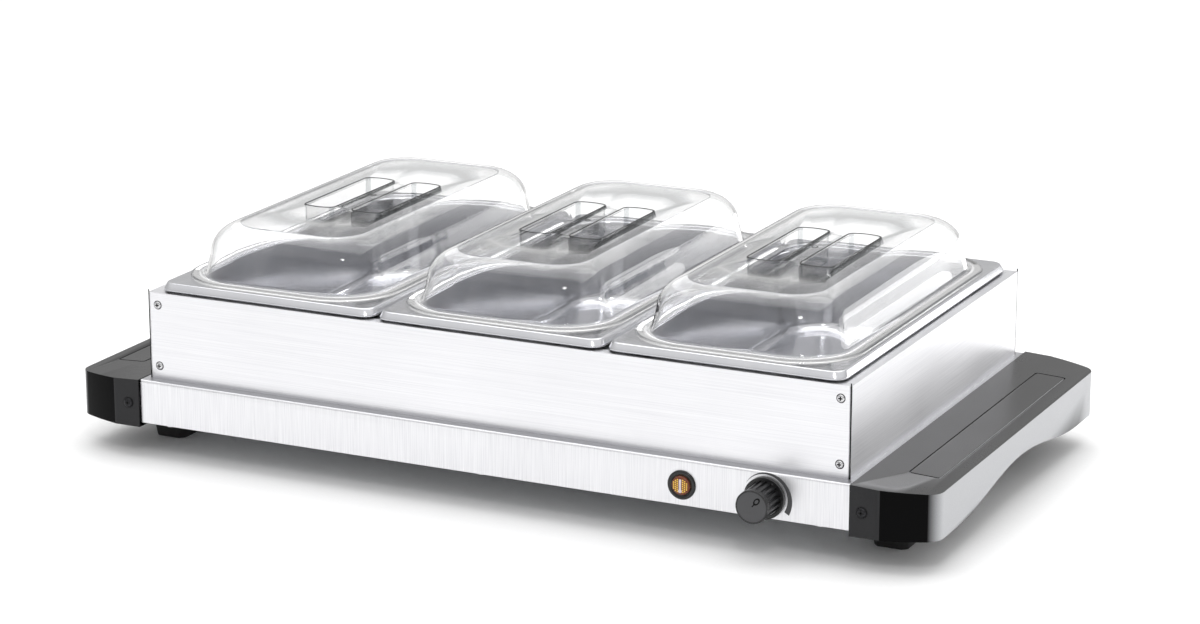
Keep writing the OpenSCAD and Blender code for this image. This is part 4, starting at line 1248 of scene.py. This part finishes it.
@dataclass
class ControlKnob:
    """The fluted knob, with its grey face, pointer line and the wedge printed round it."""

    # Face
    face_r: float = 10.5
    face_t: float = 0.06
    face_edge: float = 0.15
    face_sunk: float = 0.3
    # Pointer
    line_w: float = 0.8
    loop_r: float = 1.1
    loop_t: float = 0.12
    loop_stretch: float = 1.6
    loop_at: float = 5.6
    loop_lift: float = 0.04
    tail_l: float = 2.4
    tail_t: float = 0.1
    tail_at: float = 1.6
    tail_lift: float = 0.09
    tail_edge: float = 0.03
    pointer_deg: float = 50.0
    # Printed wedge, from its thin end to its broad one
    wedge_r: float = 16.3
    wedge_w: tuple[float, float] = (0.1, 4.0)
    wedge_deg: tuple[float, float] = (148.0, -31.0)
    ink_t: float = 0.05

    def face(self) -> Shape:
        """Draws the disc on the knob's front.

        Returns:
            Its form, looking up at the origin.
        """
        face = Shape()
        face.turn([(self.face_r, -self.face_sunk), (self.face_r, self.face_t / 3),
                   (self.face_r - self.face_edge, self.face_t)], ROUND_SIDES)
        return face

    def pointer(self) -> Shape:
        """Draws the pointer: a drawn-out loop with a tail towards the middle.

        Returns:
            Its form, looking up at the origin.
        """
        mark = Shape()
        mark.arc(self.loop_r, (self.line_w, self.line_w), (0, 360), self.loop_t)
        bmesh.ops.scale(mark.bm, vec=(self.loop_stretch, 1, 1), verts=mark.bm.verts)
        mark.move((self.loop_at, 0, self.loop_lift))
        mark.block((self.tail_l, self.line_w, self.tail_t), (self.tail_at, 0, self.tail_lift), self.tail_edge)
        bmesh.ops.rotate(mark.bm, cent=(0, 0, 0), verts=mark.bm.verts,
                         matrix=Matrix.Rotation(math.radians(self.pointer_deg), 3, "Z"))
        return mark

    def wedge(self) -> Shape:
        """Draws the printed arc that widens towards the hot end.

        Returns:
            Its form, looking up at the origin.
        """
        shape = Shape()
        shape.arc(self.wedge_r, self.wedge_w, self.wedge_deg, self.ink_t)
        return shape

    def build(self) -> None:
        """Builds the knob's body, face, pointer and printed wedge."""
        dress_copy("control_knob", "knob", "knob_plastic", KNOB_BODY, crease_deg=28.0)
        x, _, z = Box.of("heat_regulator").middle()
        front, panel = Box.of("control_knob").low[1], Box.of("base_shell").low[1]
        for shape, y, name, body, finish in ((self.face(), front, "knob_face", "knob", KNOB_FACE),
                                             # The pointer is painted in the shade of its groove.
                                             (self.pointer(), front, "knob_pointer", "knob", KNOB_GROOVE_SHADE),
                                             (self.wedge(), panel, "printed_wedge", "root", PRINT_INK)):
            shape.face_front()
            shape.move((x, y, z))
            shape.become(Piece(name, body, "knob_plastic", finish))


@dataclass
class PilotLamp:
    """The amber lamp: a black bezel round a lens with a pale strip and small facets."""

    bezel_profile: tuple[tuple[float, float], ...] = (
        (10.4, -1.0), (10.4, 0.7), (10.1, 1.25), (9.6, 1.5), (8.8, 1.5), (7.6, 1.1), (6.9, 0.5), (6.9, -0.8))
    # Lens, with its dome as shares of its radius and heights above its edge
    lens_r: float = 6.8
    lens_h: float = 2.2
    lens_sunk: float = 0.6
    lens_dome: tuple[tuple[float, float], ...] = (
        (1.0, -0.6), (0.97, -0.1), (0.86, 0.45), (0.6, 0.8), (0.3, 0.95))
    # Pale strip, with the ball at its end
    strip: Point = (1.9, 7.2, 0.5)
    strip_place: tuple[float, float] = (1.2, 0.8)
    strip_edge: float = 0.24
    ball_profile: tuple[tuple[float, float], ...] = ((1.4, 0.5), (1.4, 0.95), (1.15, 1.2), (0.6, 1.35))
    ball_y: float = -3.6
    ball_sides: int = 24
    # Facets
    cell: Point = (0.95, 0.95, 0.5)
    cell_edge: float = 0.2
    columns: tuple[float, ...] = (-4.8, -3.4, -2.0, 2.0, 3.4, 4.8)
    row_pitch: float = 1.4
    row_room: float = 0.72
    cells_r: float = 5.8
    cells_top: float = 0.95
    cells_fall: float = 0.65

    def bezel(self) -> Shape:
        """Draws the bezel.

        Returns:
            Its form, looking up at the origin.
        """
        shape = Shape()
        shape.turn(self.bezel_profile, ROUND_SIDES)
        return shape

    def lens(self) -> Shape:
        """Draws the domed lens.

        Returns:
            Its form, looking up at the origin.
        """
        shape = Shape()
        dome = [(self.lens_r * r, self.lens_h + rise) for r, rise in self.lens_dome]
        shape.turn([(self.lens_r, -self.lens_sunk), *dome], ROUND_SIDES)
        return shape

    def light_guide(self) -> Shape:
        """Draws the pale strip with the ball at its end.

        Returns:
            Its form, looking up at the origin.
        """
        strip = Shape()
        y, rise = self.strip_place
        strip.block(self.strip, (0, y, self.lens_h + rise), self.strip_edge)
        ball = Shape()
        ball.turn([(r, self.lens_h + rise) for r, rise in self.ball_profile], self.ball_sides)
        ball.move((0, self.ball_y, 0))
        strip.take(ball)
        return strip

    def facets(self) -> Shape:
        """Draws the columns of small facets, which follow the lens's dome.

        Returns:
            Their form, looking up at the origin.
        """
        cells = Shape()
        for column in self.columns:
            count = int(math.sqrt(self.cells_r**2 - column**2) // self.row_room)
            for row in range(count):
                rise = (row - (count - 1) / 2) * self.row_pitch
                fall = self.cells_fall * (column**2 + rise**2) / self.lens_r**2
                cells.block(self.cell, (column, rise, self.lens_h + self.cells_top - fall), self.cell_edge)
        return cells

    def build(self) -> None:
        """Builds the bezel, the lens, its strip and its facets."""
        x, _, z = Box.of("lamp_bezel").middle()
        panel = Box.of("base_shell").low[1]
        for shape, name, slot, finish, node in (
            (self.bezel(), "lamp_bezel_ring", "lamp_black", GLOSS_BLACK, ("lamp_bezel",)),
            (self.lens(), "lamp_lens_dome", "lamp_amber", LENS_AMBER, ("lamp_lens",)),
            (self.light_guide(), "lamp_strip", "lamp_amber", STRIP_PALE, ()),
            # The facets carry painted glints.
            (self.facets(), "lamp_facets", "lamp_amber", FACET_GLINT, ()),
        ):
            shape.face_front()
            shape.move((x, panel, z))
            shape.become(Piece(name, "root", slot, finish, node))


@dataclass
class CordInlet:
    """The nylon gland on the back wall."""

    node: str = "cord_gland"

    def build(self) -> None:
        """Builds the gland."""
        dress_copy(self.node, "root", "gland_nylon", BLACK_NYLON)


@dataclass
class Inside:
    """The parts inside, which keep their CAD form and get real finishes."""

    finishes: dict[str, Finish]

    def build(self) -> None:
        """Gives each node its finish."""
        for name, finish in self.finishes.items():
            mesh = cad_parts[name].data
            mesh.materials.clear()
            mesh.materials.append(finish.material())
            LOG.info("%s: %s", name, finish.name)


class Window(Enum):
    """The outline of a soft box."""

    OBLONG = "RECTANGLE"
    ROUND = "ELLIPSE"


@dataclass(frozen=True)
class SoftBox:
    """A soft box: its middle, the point that it faces and its size in metres, and its brightness."""

    name: str
    place: Point
    aim: Point
    size: tuple[float, float]
    radiance: float
    window: Window = Window.OBLONG

    def build(self) -> None:
        """Hangs the soft box."""
        data = bpy.data.lights.new(self.name, "AREA")
        data.shape, data.size, data.size_y = self.window.value, *self.size
        data.energy = self.radiance * math.pi * self.size[0] * self.size[1]
        lamp = bpy.data.objects.new(self.name, data)
        lamp.location = self.place
        lamp.rotation_mode = "QUATERNION"
        lamp.rotation_quaternion = (Vector(self.aim) - Vector(self.place)).to_track_quat("-Z", "Y")
        bpy.context.scene.collection.objects.link(lamp)


@dataclass
class Studio:
    """The floor, lights and camera, with places in metres."""

    eye: Point = (1.0952, -2.2370, 0.7948)
    target: Point = (0.0100, 0.0076, 0.1018)
    lens_mm: float = 105.58
    sensor_mm: float = 36.0
    dim: float = 0.65
    bright: float = 1.0
    dim_below: float = 0.3
    bright_above: float = 0.6
    floor_half: float = 9.0
    boxes: tuple[SoftBox, ...] = (
        SoftBox("overhead", place=(-0.1, 0.35, 1.7), aim=(0.0, 0.05, 0.0), size=(2.4, 1.7), radiance=1.4),
        SoftBox("right_card", place=(1.25, 1.1, 0.22), aim=(0.33, 0.0, 0.05), size=(1.1, 0.5), radiance=3.0),
        SoftBox("small_lamp", place=(0.89, -1.63, 1.92), aim=(0.0, 0.0, 0.1), size=(0.34, 0.34),
                radiance=16.0, window=Window.ROUND),
    )

    def camera(self) -> None:
        """Places the camera that the photograph was fitted with."""
        data = bpy.data.cameras.new("camera")
        data.lens, data.sensor_width, data.sensor_fit = self.lens_mm, self.sensor_mm, "HORIZONTAL"
        camera = bpy.data.objects.new("camera", data)
        camera.location = self.eye
        camera.rotation_mode = "QUATERNION"
        camera.rotation_quaternion = (Vector(self.target) - Vector(self.eye)).to_track_quat("-Z", "Y")
        bpy.context.scene.collection.objects.link(camera)
        bpy.context.scene.camera = camera

    def floor(self) -> None:
        """Lays the pale floor."""
        bm = bmesh.new()
        bmesh.ops.create_grid(bm, x_segments=1, y_segments=1, size=self.floor_half)
        mesh = bpy.data.meshes.new("floor")
        bm.to_mesh(mesh)
        bm.free()
        floor = bpy.data.objects.new("floor", mesh)
        bpy.context.scene.collection.objects.link(floor)
        mesh.materials.append(FLOOR_PAPER.material())

    def sky(self) -> None:
        """Surrounds the tray with white that dims towards the horizon."""
        world = bpy.data.worlds.new("studio")
        world.use_nodes = True
        tree = world.node_tree
        place = add_node(tree, "ShaderNodeTexCoord").outputs["Generated"]
        height = add_node(tree, "ShaderNodeSeparateXYZ", {0: place}).outputs["Z"]
        glow = add_node(tree, "ShaderNodeMapRange", {"Value": height},
                        {"From Min": self.dim_below, "From Max": self.bright_above, "To Min": self.dim,
                         "To Max": self.bright})
        background = tree.nodes["Background"]
        background.inputs["Color"].default_value = (1.0, 1.0, 1.0, 1.0)
        tree.links.new(glow.outputs[0], background.inputs["Strength"])
        bpy.context.scene.world = world
        bpy.context.scene.view_settings.view_transform = "Standard"

    def build(self) -> None:
        """Builds the whole studio."""
        self.sky()
        self.floor()
        for box in self.boxes:
            box.build()
        self.camera()


def main() -> None:
    """Builds the studio and every piece."""
    logging.basicConfig(level=logging.INFO, format="%(message)s")
    Studio().build()
    Casing().build()
    ScrewSet("panel_screws", "bright_screw", BRIGHT_STEEL, radius=2.8, height=1.1, rows_apart=46.0).build()
    for side in Side:
        EndHandle(side).build()
    ScrewSet("handle_screws", "black_screw", BLACK_OXIDE, radius=3.7, height=1.6).build()
    for place in Place:
        Pan(place).build()
        Lid(place).build()
    ControlKnob().build()
    PilotLamp().build()
    CordInlet().build()
    Inside(INSIDE).build()


if __name__ == "__main__":
    main()
